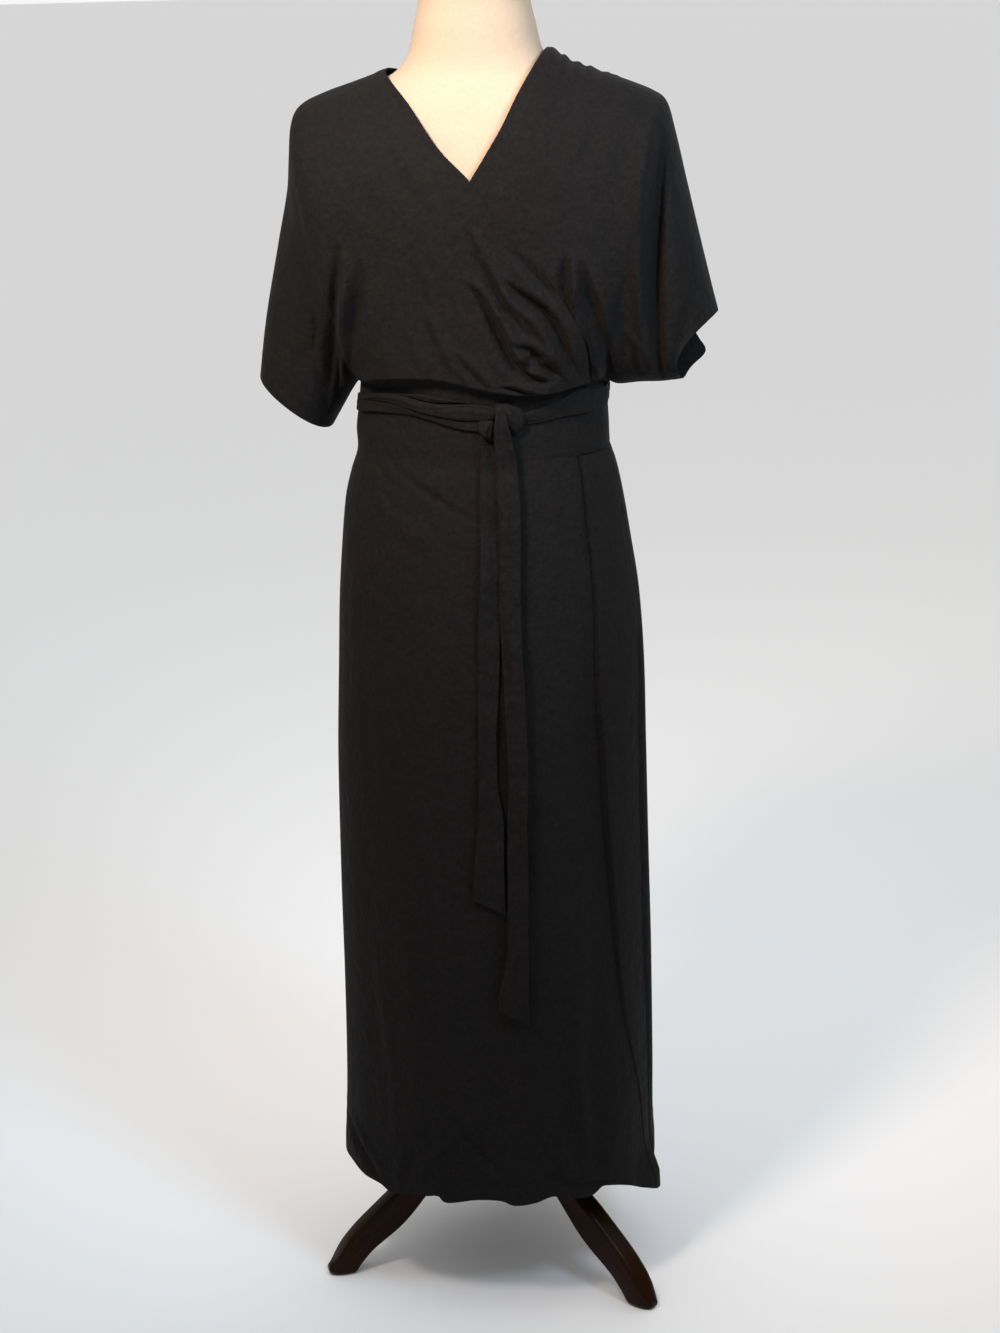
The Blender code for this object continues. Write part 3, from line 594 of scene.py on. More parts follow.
# Shares of the way across the over panel where the pleat's pressed edge starts and ends
PLEAT_FROM, PLEAT_TO = 0.66, 0.70
PLEAT_RISE = 3.0
# Heights between which the pleat's edge goes from open to pressed
PLEAT_OPEN, PLEAT_PRESSED = 260, 580
# Height, angle of the over panel's free edge
FREE_EDGE = (
    (130, 80), (250, 76.5), (339, 74.5), (402, 72), (554, 71), (716, 72), (798, 75), (849, 79), (990, 79),
)
# How far the free corner at the hem turns outwards, below this height and beyond this angle
CORNER_FLARE, CORNER_TOP, CORNER_START = 9, 178, 62
# How far the under panel lies inside the ring: height, depth
UNDER_DROP = (
    (130, 14), (700, 14), (760, 11), (824, 7), (880, 4.5), (937, 2), (968, 1), (990, 0),
)
# Upright folds: angle from the front, height, half width in degrees
SKIRT_FOLDS = (
    (-72, 3, 10), (-44, -2, 8), (-22, 3, 9), (4, -2.5, 8), (29, 3, 7), (41, -3, 5), (112, 5, 9),
    (136, -4.5, 9), (160, 5.5, 10), (184, -4, 9), (208, 5, 10), (232, -4.5, 9), (254, 4, 8),
)
# Heights at which these folds start and at which they and the cloth's unevenness are full
FOLDS_START, FOLDS_FULL = 950, 300
# Angles between which the over panel's folds and creases die out beside the pleat
FOLDS_END, CREASES_END = (50, 70), (40, 52)
# Millimetres to a degree round the skirt
SKIRT_ARC = 2.6
# Unevenness of the cloth just below the waistband, size of its waves, and the share by which heights count
# in them, so that they are longer upright
BAND_UNEVEN = 0.4
DRAPE_SIZE, DRAPE_STRETCH = 120, 0.55
# Heights down to which the waist seam holds the cloth flat, and below which its unevenness grows
SEAM_CALM, DRAPE_START = 960, 900
MEAN_HEM = 140
# Lower edge: angle, height
HEM = (
    (-90, 166), (-78, 152), (-62, 149), (-50.5, 143), (-40.5, 142), (-35.5, 138), (-23.5, 144), (-18, 146),
    (-14.5, 147), (-12.5, 140), (-2, 146), (4.5, 145), (8, 140), (15.5, 143), (22, 150), (27, 147),
    (38.5, 141), (45, 147), (57, 136), (69, 118), (80, 106), (90, 126), (105, 138), (120, 140), (150, 136),
    (180, 142), (210, 136), (240, 143), (270, 166),
)
# Share of the way down at which the hem's row of stitches runs, and how far the turned-up cloth stands proud
HEM_ROW = 0.971
HEM_PROUD = 0.5
# Gap between the waistband and the skirt
WAIST_GAP = 0.05
STITCH_PITCH = 3.4
STITCH_LENGTH = 2.4
STITCH_WIDTH = 0.5
# Creases of the over panel: height, half width, ridge's side, share kept at the ends, then x, z along each.
# The ridge's side is 1 to the left of the way, -1 to the right, and 0 for both.
OVER_CREASES = (
    (-2.6, 3.5, 1, 0.1, (-92, 985), (-70, 971), (-46, 955), (-15, 936), (12, 922)),
    (-1.8, 3, 1, 0.1, (-108, 986), (-98, 971), (-84, 962)),
    (-1.6, 3.5, -1, 0.1, (-106, 964), (-89, 940), (-72, 930)),
    (-1.2, 3, 0, 0.1, (-52, 983), (-30, 980), (-14, 979)),
    (1.4, 9, 0, 0.1, (-104, 940), (-70, 915), (-40, 905)),
    (-1.2, 4, 1, 0.1, (60, 986), (72, 960), (78, 920), (80, 860)),
    (-1.2, 6, 1, 0.2, (-134, 440), (-128, 360), (-116, 270), (-112, 200)),
    (-0.6, 8, 0, 0.2, (-104, 500), (-96, 340), (-92, 240), (-90, 180)),
    (1, 12, 0, 0.2, (-80, 520), (-76, 380), (-72, 230)),
    (-1, 8, 0, 0.2, (-50, 540), (-60, 301), (-58, 200)),
    (-3.4, 8, 1, 0.3, (100, 560), (92, 420), (86, 300), (84, 180)),
    (2.4, 9, 0, 0.2, (52, 520), (46, 380), (48, 220)),
    (-4.4, 5, 1, 0.1, (-172, 204), (-152, 172), (-128, 150)),
    (-3.8, 4.5, -1, 0.1, (-78, 206), (-90, 174), (-98, 148)),
    (-3.4, 4, 1, 0.1, (-74, 160), (-42, 196), (-12, 234)),
    (-3.4, 4, -1, 0.1, (-34, 244), (-8, 204), (30, 168)),
    (-3.8, 4.5, 1, 0.1, (62, 182), (98, 160), (150, 144)),
    (-4.4, 6, 1, 0.2, (92, 310), (98, 236), (104, 162)),
    (-2.6, 6, -1, 0.1, (4, 230), (-30, 190), (-64, 156)),
    (-1.8, 4, 1, 0.1, (8, 262), (0, 214), (-14, 168)),
    (-2, 5, 1, 0.1, (60, 250), (66, 200), (84, 158)),
    (2.2, 6, 0, 0.1, (118, 230), (130, 190), (146, 150)),
    (-1.8, 5, 1, 0.2, (-33, 330), (-35, 249), (-32, 190)),
    (-1.4, 4, 1, 0.1, (-10, 445), (-16, 420), (-24, 400)),
    (-1.6, 5, 0, 0.2, (95, 345), (94, 258), (98, 190)),
    (1.5, 8, 0, 0.1, (60, 420), (66, 300), (62, 200)),
    (-1.3, 3.5, 1, 0.1, (-6, 300), (13, 285), (30, 272)),
    (-1.3, 3.5, -1, 0.1, (18, 306), (13, 285), (6, 262)),
    (-0.7, 6, 0, 0.1, (-128, 820), (-120, 720), (-122, 620)),
    (-0.8, 7, 0, 0.1, (-70, 860), (-76, 740), (-70, 640)),
    (1, 8, 0, 0.1, (80, 800), (84, 700), (80, 600)),
)
# Shares of a crease's height that the cloth rises beside it: alike on both sides, or on the ridge's side and
# on the other
EVEN_RIDGE, HIGH_RIDGE, LOW_RIDGE = 0.32, 0.62, 0.08


def crease_shape(distance, half_width, ridge):
    """Across a crease: 1 in its middle, and less than 0 beside it, most on the ridge's side."""
    crest = bell(np.abs(distance) - 2 * half_width, 1.15 * half_width)
    weight = EVEN_RIDGE if ridge == 0 else np.where(distance * ridge > 0, HIGH_RIDGE, LOW_RIDGE)
    return bell(distance, half_width) - weight * crest


def creases_at(creases, x, z):
    """Sum of a table's creases at points x, z."""
    total = np.zeros_like(x)
    for height, half_width, ridge, kept, *route in creases:
        nearest = np.full_like(x, np.inf)
        walked = np.zeros_like(x)
        side = np.zeros_like(x)
        lengths = [math.dist(start, end) for start, end in zip(route, route[1:])]
        before = 0.0
        for start, end, length in zip(route, route[1:], lengths):
            run, rise = (end[0] - start[0]) / length, (end[1] - start[1]) / length
            share = np.clip(((x - start[0]) * run + (z - start[1]) * rise) / length, 0, 1)
            gap = np.hypot(x - start[0] - run * share * length, z - start[1] - rise * share * length)
            closer = gap < nearest
            walked = np.where(closer, (before + share * length) / sum(lengths), walked)
            side = np.where(closer, np.sign((z - start[1]) * run - (x - start[0]) * rise), side)
            nearest = np.minimum(gap, nearest)
            before += length
        fade = kept + (1 - kept) * np.sin(np.pi * np.clip(walked, 0, 1)) ** 0.8
        total += height * crease_shape(nearest * side, half_width * (0.6 + 0.5 * fade), ridge) * fade
    return total


def stops(share, *pairs):
    """Walks in straight runs along stops of (share, value)."""
    value = np.broadcast_to(pairs[0][1], np.shape(share)).astype(float)
    for (start, low), (end, high) in zip(pairs, pairs[1:]):
        value = value + (high - low) * np.clip((share - start) / (end - start), 0, 1)
    return value


def skirt_height(angle, down):
    top = BAND_BOTTOM - WAIST_GAP
    return top + (curve(HEM, angle)[0] - top) * down


def soft_folds(angle, height):
    folds = sum(rise * bell(angle - place, spread) for place, rise, spread in SKIRT_FOLDS)
    return folds * smooth(height, FOLDS_START, FOLDS_FULL)


def drape(angle, height, seed, near_band=1.0):
    """Slow unevenness of the hanging cloth: little below the waistband, full lower down."""
    uneven = BAND_UNEVEN * near_band + smooth(height, DRAPE_START, FOLDS_FULL)
    return ripple(angle * SKIRT_ARC, height * DRAPE_STRETCH, DRAPE_SIZE, seed) * uneven


def turned_hem(down):
    return HEM_PROUD * smooth(down, HEM_ROW - 0.004, HEM_ROW + 0.004)


def over_surface(across, down):
    """The over panel: flat to the pleat's trough, then up on the pressed edge and on to the free edge."""
    rough_height = BAND_BOTTOM + (MEAN_HEM - BAND_BOTTOM) * down
    edge, depth, spread = curve(PLEAT, rough_height)
    free = curve(FREE_EDGE, rough_height)[0]
    angle = stops(across, (0, -90), (PLEAT_FROM - 0.05, edge - 4.5), (PLEAT_FROM, edge - 1),
                  (PLEAT_TO, edge), (PLEAT_TO + 0.03, edge + 1.6), (1, free))
    height = skirt_height(angle, down)
    out = band_lift(angle) + soft_folds(angle, height) * (1 - smooth(angle, *FOLDS_END))
    step = smooth(across, PLEAT_FROM + 0.01, PLEAT_TO)
    pressed = 0.04 + 0.96 * smooth(rough_height, PLEAT_OPEN, PLEAT_PRESSED)
    out += PLEAT_RISE * pressed * step * (1 - 0.6 * smooth(angle, edge, edge + 15))
    trough = bell(np.maximum(edge - 1 - angle, 0), spread)
    groove = bell(angle - edge + 0.9, 0.8)
    out -= (depth * trough + 1.6 * pressed * groove) * (1 - step)
    base = ring(angle, height)
    out += creases_at(OVER_CREASES, base[:, 0], base[:, 2]) * (1 - smooth(angle, *CREASES_END))
    out += drape(angle, height, 4, smooth(height, BAND_BOTTOM, SEAM_CALM))
    out += CORNER_FLARE * smooth(height, CORNER_TOP, 122) * smooth(angle, CORNER_START, 79)
    out += turned_hem(down) + waist_seam(angle, BAND_BOTTOM - height)
    side_seam = bell((angle + 90) * 2.5, SEAM_HALF_WIDTH) * smooth(height, SEAM_CALM, DRAPE_START)
    return ring(angle, height, out - SEAM_DIP * side_seam)


def under_surface(across, down):
    angle = UNDER_END_ANGLE + (90 - UNDER_END_ANGLE) * across
    inside = smooth(90 - angle, 0, 8)
    height = skirt_height(angle, down) + 4 * inside * down
    deep = curve(UNDER_DROP, height)[0]
    return ring(angle, height, 0.3 * ripple(angle * SKIRT_ARC, height, 110, 5) - deep * inside)


def back_surface(across, down):
    angle = 90 + 180 * across
    height = skirt_height(angle, down)
    side = smooth(angle, 90, 104) * (1 - smooth(angle, 256, 270))
    out = (soft_folds(angle, height) + drape(angle, height, 6)) * side
    return ring(angle, height, out + turned_hem(down) + waist_seam(angle, BAND_BOTTOM - height))


def unit_normals(surface, across, down):
    """Directions square to a surface, found by short steps on it."""
    step = 0.002
    along = surface(np.minimum(across + step, 1), down) - surface(np.maximum(across - step, 0), down)
    fall = surface(across, np.minimum(down + step, 1)) - surface(across, np.maximum(down - step, 0))
    normals = np.cross(along, fall)
    return normals / np.linalg.norm(normals, axis=-1, keepdims=True)


def stitched_row(name, surface, start, end):
    """One joined mesh of short stitches on a straight line between two (across, down) places of a surface."""
    places = np.linspace(start, end, 1500)
    points = surface(*places.T)
    walked = np.concatenate(([0], np.cumsum(np.linalg.norm(np.diff(points, axis=0), axis=1))))

    def after(distances, table):
        return np.stack([np.interp(distances, walked, column) for column in table.T], axis=-1)

    spots = np.arange(STITCH_PITCH, walked[-1] - STITCH_PITCH, STITCH_PITCH)
    middles = after(spots, points)
    runs = after(spots + 0.5, points) - middles
    runs /= np.linalg.norm(runs, axis=-1, keepdims=True)
    outwards = unit_normals(surface, *after(spots, places).T)
    outwards *= np.sign((outwards[:, :2] * middles[:, :2]).sum(axis=1))[:, None]
    mesh = bmesh.new()
    for middle, run, up in zip(middles + outwards * CLOTH / 2, runs, outwards):
        side = np.cross(up, run)
        axes = np.stack((run * STITCH_LENGTH / 2, side * STITCH_WIDTH / 2, up * STITCH_WIDTH * 0.8), axis=1)
        place = Matrix.Translation(Vector(middle * MM) + POLE) @ Matrix((axes * MM).tolist()).to_4x4()
        bmesh.ops.create_icosphere(mesh, subdivisions=1, radius=1, matrix=place)
    bmesh.ops.recalc_face_normals(mesh, faces=mesh.faces)
    return make_piece(name, mesh, crepe, "crepe")


def sew(*panels):
    """Builds panels of the dress, then their rows of stitches, each given by its name, start and end."""
    made = [cloth_piece(*panel[:5]) for panel in panels]
    for piece, (_, surface, _, _, _, flat, area, *seams) in zip(made, panels):
        stitches = [stitched_row(name, surface, start, end) for name, start, end in seams]


sew(
    ("panel_over", over_surface, 200, 190, "skirt_front_over", (0.50, 0.86), 0.385,
     ("over_hem_stitches", (0.004, HEM_ROW), (0.995, HEM_ROW)),
     ("free_edge_stitches", (0.985, 0.02), (0.985, HEM_ROW))),
    ("panel_under", under_surface, 90, 100, "skirt_front_under", (0.38, 0.86), 0.29,
     ("under_hem_stitches", (0.6, HEM_ROW), (0.995, HEM_ROW))),
    ("panel_back", back_surface, 170, 150, "skirt_back", (0.50, 0.86), 0.40,
     ("back_hem_stitches", (0.005, HEM_ROW), (0.995, HEM_ROW))),
)


# Bodice
# Two fronts and a back, each cut in one with its sleeves. The wearer's right front laps over the left one,
# and all three blouse over the waistband, which gathers them.

# How far the cloth bags over the waistband, where it shows and under the lap
BLOUSE_OVERHANG, COVERED_OVERHANG = 23, 2
# Last shares of the way down, over which the cloth is drawn in to the waistband and down to its top
TUCK_IN, TUCK_DOWN = 0.07, 0.045
WAISTBAND_GAP = 0.1
BACK_NECK_DROP = 0.10
# Shares of the way across the back between which its top runs round the nape
NAPE_FROM, NAPE_TO = 0.375, 0.625
# Places of the waist's sides and of the neck's ends on the shoulder
SIDE_PLACE = 0.60
NECK_RIGHT, NECK_LEFT = -0.13, 0.12
# Share of each piece's width that one sleeve takes
RIGHT_SLEEVE, LEFT_SLEEVE, BACK_SLEEVE = 0.29, 0.333, 0.175
# Place from the right cuff (-1) to the left cuff (1), x and z of the shoulder, x and z of the waist
BODICE_EDGES = (
    (-1.00, -247.5, 1072, -173, 1011), (-0.90, -237, 1137, -161, 1031), (-0.80, -219, 1218, -150, 1049),
    (-0.70, -205.5, 1277, -142, 1060), (-0.60, -201, 1316, -135, 1064), (-0.50, -196.5, 1348, -130, 1066),
    (-0.42, -186, 1361.5, -116, 1070), (-0.34, -161, 1372.5, -93, 1075), (-0.26, -135, 1381, -71, 1077),
    (-0.18, -111, 1389, -49, 1077), (-0.13, -95, 1395, -35, 1076), (-0.06, -45, 1403, -16, 1072),
    (0.00, -5, 1409, 0, 1068), (0.06, 36, 1413, 17, 1064), (0.12, 77, 1413, 34, 1061),
    (0.18, 101, 1400, 51, 1059), (0.26, 132, 1388, 73, 1059), (0.34, 160, 1378, 93, 1061),
    (0.42, 187, 1367, 114, 1065), (0.50, 201, 1356, 128, 1065), (0.60, 210, 1327, 134.5, 1064),
    (0.70, 222, 1275, 148, 1058), (0.80, 236, 1215, 172, 1060), (0.90, 247, 1170, 197, 1061),
    (1.00, 256, 1135, 220, 1064),
)
# Place, depth to the front, depth to the back, rise of the back neck
BODICE_DEPTHS = (
    (-1.00, 62, 62, 0), (-0.80, 70, 70, 0), (-0.60, 84, 82, 0), (-0.42, 99, 94, 0), (-0.26, 107, 99, 0),
    (-0.13, 111, 102, 0), (0.00, 112, 103, 30), (0.12, 111, 102, 0), (0.26, 107, 99, 0), (0.42, 99, 94, 0),
    (0.60, 84, 82, 0), (0.80, 72, 72, 0), (1.00, 66, 66, 0),
)
# How far the edge of the left cuff is drawn in at the front; share of the way down, how far out and spread
# of each wave of its edge at the back
FRONT_CUFF_HOLLOW = 18
BACK_CUFF_WAVES = ((0.76, 11, 0.15), (0.36, -15, 0.19))
# Edges of the two fronts: height, x
OVER_EDGE = (
    (1066, 123), (1110, 122), (1152, 105), (1178, 86), (1214, 51), (1243, 33), (1284, 6), (1314, -24),
    (1362, -61), (1393, -93),
)
UNDER_EDGE = (
    (1062, -104), (1110, -101), (1150, -82), (1200, -47), (1243, -21), (1284, 6), (1334, 37), (1367, 53),
    (1413, 77),
)
# Creases: height, half width, ridge's side, share kept at the ends, then x, z along each
RIGHT_FRONT_CREASES = (
    (-11, 6.5, 1, 0.15, (-137, 1214), (-140, 1189), (-142, 1168), (-145.5, 1136), (-150, 1109),
     (-157, 1087), (-164, 1062), (-168, 1038)),
    (6.5, 4.5, 0, 0.1, (-129, 1214), (-134, 1165), (-139.5, 1140), (-147, 1114), (-154, 1090),
     (-157, 1070)),
    (-8.5, 6, -1, 0.1, (-112, 1202), (-118, 1163), (-124, 1137), (-129, 1115), (-134, 1094), (-137, 1078)),
    (-8, 3.4, 1, 0.2, (-150, 1090), (-153, 1072), (-156, 1052), (-158, 1036)),
    (-5, 2.6, -1, 0.2, (-143, 1092), (-142, 1078), (-141, 1060)),
    (-3, 4, 1, 0.1, (-176, 1082), (-172, 1060), (-170, 1036)),
    (-3, 3.5, 1, 0.1, (-172, 1146), (-171, 1122), (-174, 1104)),
    (-1.6, 7, 0, 0.1, (-206, 1290), (-203, 1240), (-202, 1190)),
    (1.4, 9, 0, 0.1, (-60, 1230), (-84, 1170), (-92, 1120)),
    (-2, 6, 1, 0.1, (-202, 1180), (-206, 1130), (-216, 1080)),
    (-15, 5.2, -1, 0.05, (40, 1182), (53, 1169), (67, 1158), (79, 1149), (88, 1137), (95, 1122),
     (101, 1106), (106, 1092), (113, 1074)),
    (-3.5, 6.5, 0, 0.05, (50, 1210), (66, 1190), (82, 1172), (96, 1152)),
    (2.6, 4, 0, 0.05, (36, 1218), (52, 1196), (72, 1172), (88, 1158)),
    (-6, 4, 1, 0.05, (2, 1236), (14, 1204), (26, 1179), (38, 1158), (48, 1142), (60, 1126)),
    (-3.5, 2.6, 0, 0.05, (27, 1164), (36, 1152), (46, 1147)),
    (3, 5.5, 0, 0.05, (14, 1174), (26, 1150), (38, 1130)),
    (-12, 5.6, 1, 0.08, (2, 1177), (14, 1164), (23, 1148), (30, 1130), (38, 1112), (46, 1096),
     (56, 1085), (68, 1079), (82, 1077)),
    (-7, 4.2, 1, 0.1, (46, 1117), (54, 1112), (66, 1108), (75, 1100), (79, 1090), (92, 1080)),
    (-4, 3.6, 0, 0.15, (76, 1100), (66, 1102), (62, 1096), (68, 1091)),
    (3.5, 4, 0, 0.1, (52, 1106), (60, 1101), (64, 1108)),
    (5.5, 3.4, 0, 0.1, (62, 1086), (74, 1085), (88, 1078)),
    (-4.5, 9, 0, 0.1, (78, 1094), (88, 1086), (98, 1078)),
    (-6.5, 2.4, 0, 0.1, (34, 1070), (46, 1068), (60, 1063), (78, 1059)),
    (-3.2, 5, 1, 0.1, (-52, 1200), (-48, 1170), (-44, 1140), (-34, 1110)),
    (3.2, 6, 0, 0.1, (-48, 1160), (-30, 1124), (-14, 1094), (8, 1072)),
    (-4, 4, 1, 0.1, (-16, 1108), (-4, 1090), (8, 1078), (20, 1068)),
    (-1.6, 8, 0, 0.1, (-96, 1340), (-70, 1290), (-30, 1240)),
    (-1.5, 5, 1, 0.1, (-70, 1130), (-62, 1100), (-50, 1080)),
)
LEFT_FRONT_CREASES = (
    (-14, 6.5, -1, 0.25, (203, 1356), (200, 1310), (197, 1268), (194, 1210), (193, 1169), (196, 1101),
     (198, 1066)),
    (4.5, 10, 0, 0.1, (182, 1340), (174, 1240), (172, 1120)),
    (3, 9, 0, 0.1, (214, 1300), (216, 1200), (220, 1120)),
    (-2.2, 5, 1, 0.1, (226, 1230), (228, 1180), (234, 1130)),
    (-4, 6, 0, 0.2, (226, 1150), (220, 1112), (214, 1080)),
    (-4.5, 4.5, 1, 0.2, (163, 1116), (171, 1094), (177, 1074)),
    (2.5, 6, 0, 0.2, (184, 1120), (186, 1096), (187, 1076)),
    (-7, 5, 1, 0.05, (104, 1206), (102, 1186), (101, 1168), (105, 1148)),
    (4.5, 4.6, 0, 0.1, (112, 1206), (114, 1160), (116, 1110), (118, 1074)),
    (-9.5, 6, 1, 0.1, (120, 1196), (125, 1170), (131, 1150), (135, 1127), (139, 1106), (144, 1082)),
    (-5, 1.8, 0, 0.2, (119, 1124), (121, 1100), (122, 1068)),
    (-3.5, 1.6, 0, 0.2, (113, 1100), (114, 1084), (113, 1068)),
    (4.6, 4.4, 0, 0.3, (127, 1094), (131, 1085), (133, 1072)),
    (-3, 4, 1, 0.1, (160, 1120), (158, 1096), (152, 1074)),
    (-2, 4, -1, 0.1, (90, 1404), (98, 1386), (112, 1366)),
    (-2, 4, -1, 0.1, (106, 1398), (116, 1380), (132, 1360)),
    (-1.6, 4, -1, 0.1, (126, 1390), (136, 1374), (148, 1356)),
    (-1.4, 8, 0, 0.1, (150, 1370), (130, 1320), (110, 1280)),
)
BACK_CREASES = (
    (-8, 6, 1, 0.15, (-148, 1256), (-152, 1160), (-160, 1070)),
    (-9, 6, -1, 0.15, (176, 1280), (170, 1220), (168, 1160), (180, 1085)),
    (-4, 4.5, -1, 0.1, (-122, 1200), (-126, 1140), (-132, 1080)),
    (-4, 4.5, 1, 0.1, (134, 1200), (134, 1140), (138, 1080)),
    (4, 9, 0, 0.1, (-66, 1210), (-54, 1130), (-44, 1082)),
    (4, 9, 0, 0.1, (70, 1200), (58, 1130), (50, 1080)),
    (-3.6, 5, 1, 0.1, (-34, 1190), (-26, 1130), (-22, 1076)),
    (-3.2, 5, -1, 0.1, (36, 1160), (30, 1120), (24, 1072)),
    (-3.2, 4.5, 1, 0.1, (-92, 1170), (-84, 1120), (-82, 1078)),
    (-3.6, 4.5, -1, 0.1, (100, 1180), (90, 1120), (84, 1074)),
    (-1.8, 8, 0, 0.1, (-90, 1385), (-60, 1340), (-20, 1320)),
    (-1.8, 8, 0, 0.1, (84, 1395), (60, 1345), (20, 1320)),
    (-1.6, 5, 0, 0.1, (0, 1250), (4, 1190), (2, 1130)),
)
# Small gathers where the wearer's left shoulder meets the neck: place and height of each
SHOULDER_GATHERS = (
    (0.133, 2), (0.152, -1.6), (0.166, 2.6), (0.184, -2), (0.203, 1.8), (0.219, -1.2), (0.236, 2.2),
    (0.262, -1.4), (0.283, 1.5), (0.306, 1.2),
)
SHOULDER_GATHER_WIDTH = 0.008
# Gathers along the waistband
GATHER_DEPTH = 1.0
GATHER_PITCH = 23
# How far the double cloth of a cuff stands proud, and the place where it ends
CUFF_PROUD, CUFF_END = 0.5, 0.90
# The cuffs' rows of stitches run this share of the way from the cuff to the waist's side
CUFF_ROW = 0.10


def ring_angle(x, facing, height):
    """The ring angle, on the front (-1) or the back (1), of points at x."""
    left, right = curve(RINGS, height)[:2]
    reach = np.minimum(np.abs(x) / np.where(x > 0, right, left), 1)
    turn = np.degrees(np.arcsin(reach ** (ROUNDNESS / 2))) * np.sign(x)
    return turn if facing < 0 else 180 - turn


def section(place, down, rise=0.0):
    """The plain line from shoulder to waist: x, z and share of the way, then x and z of its lower end."""
    top_x, top_z, low_x, low_z = curve(BODICE_EDGES, place)
    share = (1 - np.cos(np.pi * down)) / 2
    start_z = top_z + rise
    return top_x + (low_x - top_x) * share, start_z + (low_z - start_z) * share, share, low_x, low_z


def bodice(facing, place, down, creases, lift=0.0, overhang=BLOUSE_OVERHANG):
    """Points of the bodice: place runs from cuff to cuff, down from the shoulder to the waist."""
    front, back, rise = curve(BODICE_DEPTHS, place)
    if facing < 0:
        x, z, share, low_x, low_z = section(place, down)
        full = front
        cuff = -FRONT_CUFF_HOLLOW * np.sin(np.pi * np.clip(share, 0, 1)) ** 0.8
    else:
        x, z, share, low_x, low_z = section(place, down, rise)
        full = back
        cuff = sum(out * bell(share - spot, spread) for spot, out, spread in BACK_CUFF_WAVES)
    x = x + cuff * smooth(place, 0.80, 1.0)

    # The section's outline: rounded from the shoulder to the middle, and on to the waist or the sleeve's edge
    on_waist = np.abs(place) < SIDE_PLACE
    band_top = np.full_like(low_x, BAND_TOP)
    angle = ring_angle(low_x, facing, band_top)
    bag = overhang * (1 - (np.abs(place) / SIDE_PLACE) ** 4)
    low_depth = np.where(on_waist, np.abs(ring(angle, band_top)[:, 1]) + bag, 0.0)
    upper = full * np.maximum(1 - np.maximum(1 - share / 0.5, 0) ** ROUNDNESS, 0) ** (1 / ROUNDNESS)
    closing = 1 - np.minimum(low_depth / full, 1) ** ROUNDNESS
    run = np.maximum((share - 0.5) / 0.5, 0)
    lower = full * np.maximum(1 - closing * run**ROUNDNESS, 0) ** (1 / ROUNDNESS)
    depth = np.where(share < 0.5, upper, lower) + lift * smooth(share, 0.04, 0.35)

    # Turned cuffs, creases, unevenness and the two kinds of gathers
    near_seam = smooth(share, 0, 0.12) * np.where(on_waist, 1, 1 - smooth(share, 0.9, 1))
    uneven = CUFF_PROUD * smooth(np.abs(place), CUFF_END - 0.005, CUFF_END + 0.005)
    uneven += creases_at(creases, x, z) + 0.9 * ripple(x, z, 95, 8)
    depth += uneven * near_seam
    gathers = sum(height * bell(place - spot, SHOULDER_GATHER_WIDTH) for spot, height in SHOULDER_GATHERS)
    depth += 0.45 * gathers * smooth(share, 0, 0.01) * (1 - smooth(share, 0.01, 0.10))
    waves = np.sin(x * math.tau / GATHER_PITCH + 2.6 * np.sin(x * 0.043 + 1) + facing)
    depth += GATHER_DEPTH * waves * np.where(on_waist, smooth(z - low_z, 34, 4), 0)
    z = z + 0.7 * gathers * (1 - smooth(share, 0, 0.05))
    loose = np.stack((x, facing * np.maximum(depth, 0), z), axis=-1)

    # Near the waist the cloth is drawn to the waistband's top
    end = ring(angle, band_top, lift) + (0, 0, WAISTBAND_GAP)
    inwards = np.where(on_waist, smooth(down, 1 - TUCK_IN, 0.98), 0)
    downwards = np.where(on_waist, smooth(down, 1 - TUCK_DOWN, 1), 0)
    return loose + (end - loose) * np.stack((inwards, inwards, downwards), axis=-1)


def edge_place(edge, down, low, high):
    """The places between low and high where sections at these shares down meet an edge of a front."""
    low, high = np.full_like(down, low), np.full_like(down, high)
    for _ in range(22):
        middle = (low + high) / 2
        x, z = section(middle, np.minimum(down, 1 - TUCK_IN))[:2]
        left_of_edge = x < curve(edge, z)[0]
        low, high = np.where(left_of_edge, middle, low), np.where(left_of_edge, high, middle)
    return (low + high) / 2


def over_end(down):
    return edge_place(OVER_EDGE, down, NECK_RIGHT, SIDE_PLACE - 0.02)


def right_front(across, down):
    place = stops(across, (0, -1), (RIGHT_SLEEVE, -SIDE_PLACE), (1, over_end(down)))
    lift = LAYER_STEP * smooth(place, -SIDE_PLACE, -0.4) * (1 - 0.55 * smooth(across, 0.88, 1))
    return bodice(-1, place, down, RIGHT_FRONT_CREASES, lift)


def left_front(across, down):
    start = edge_place(UNDER_EDGE, down, 0.05 - SIDE_PLACE, NECK_LEFT)
    place = stops(across, (0, start), (1 - LEFT_SLEEVE, SIDE_PLACE), (1, 1))
    covered_to = over_end(down)
    bare = smooth(place, covered_to, covered_to + 0.08)
    overhang = COVERED_OVERHANG + (BLOUSE_OVERHANG - COVERED_OVERHANG) * bare
    return bodice(-1, place, down, LEFT_FRONT_CREASES + RIGHT_FRONT_CREASES, 0.0, overhang)


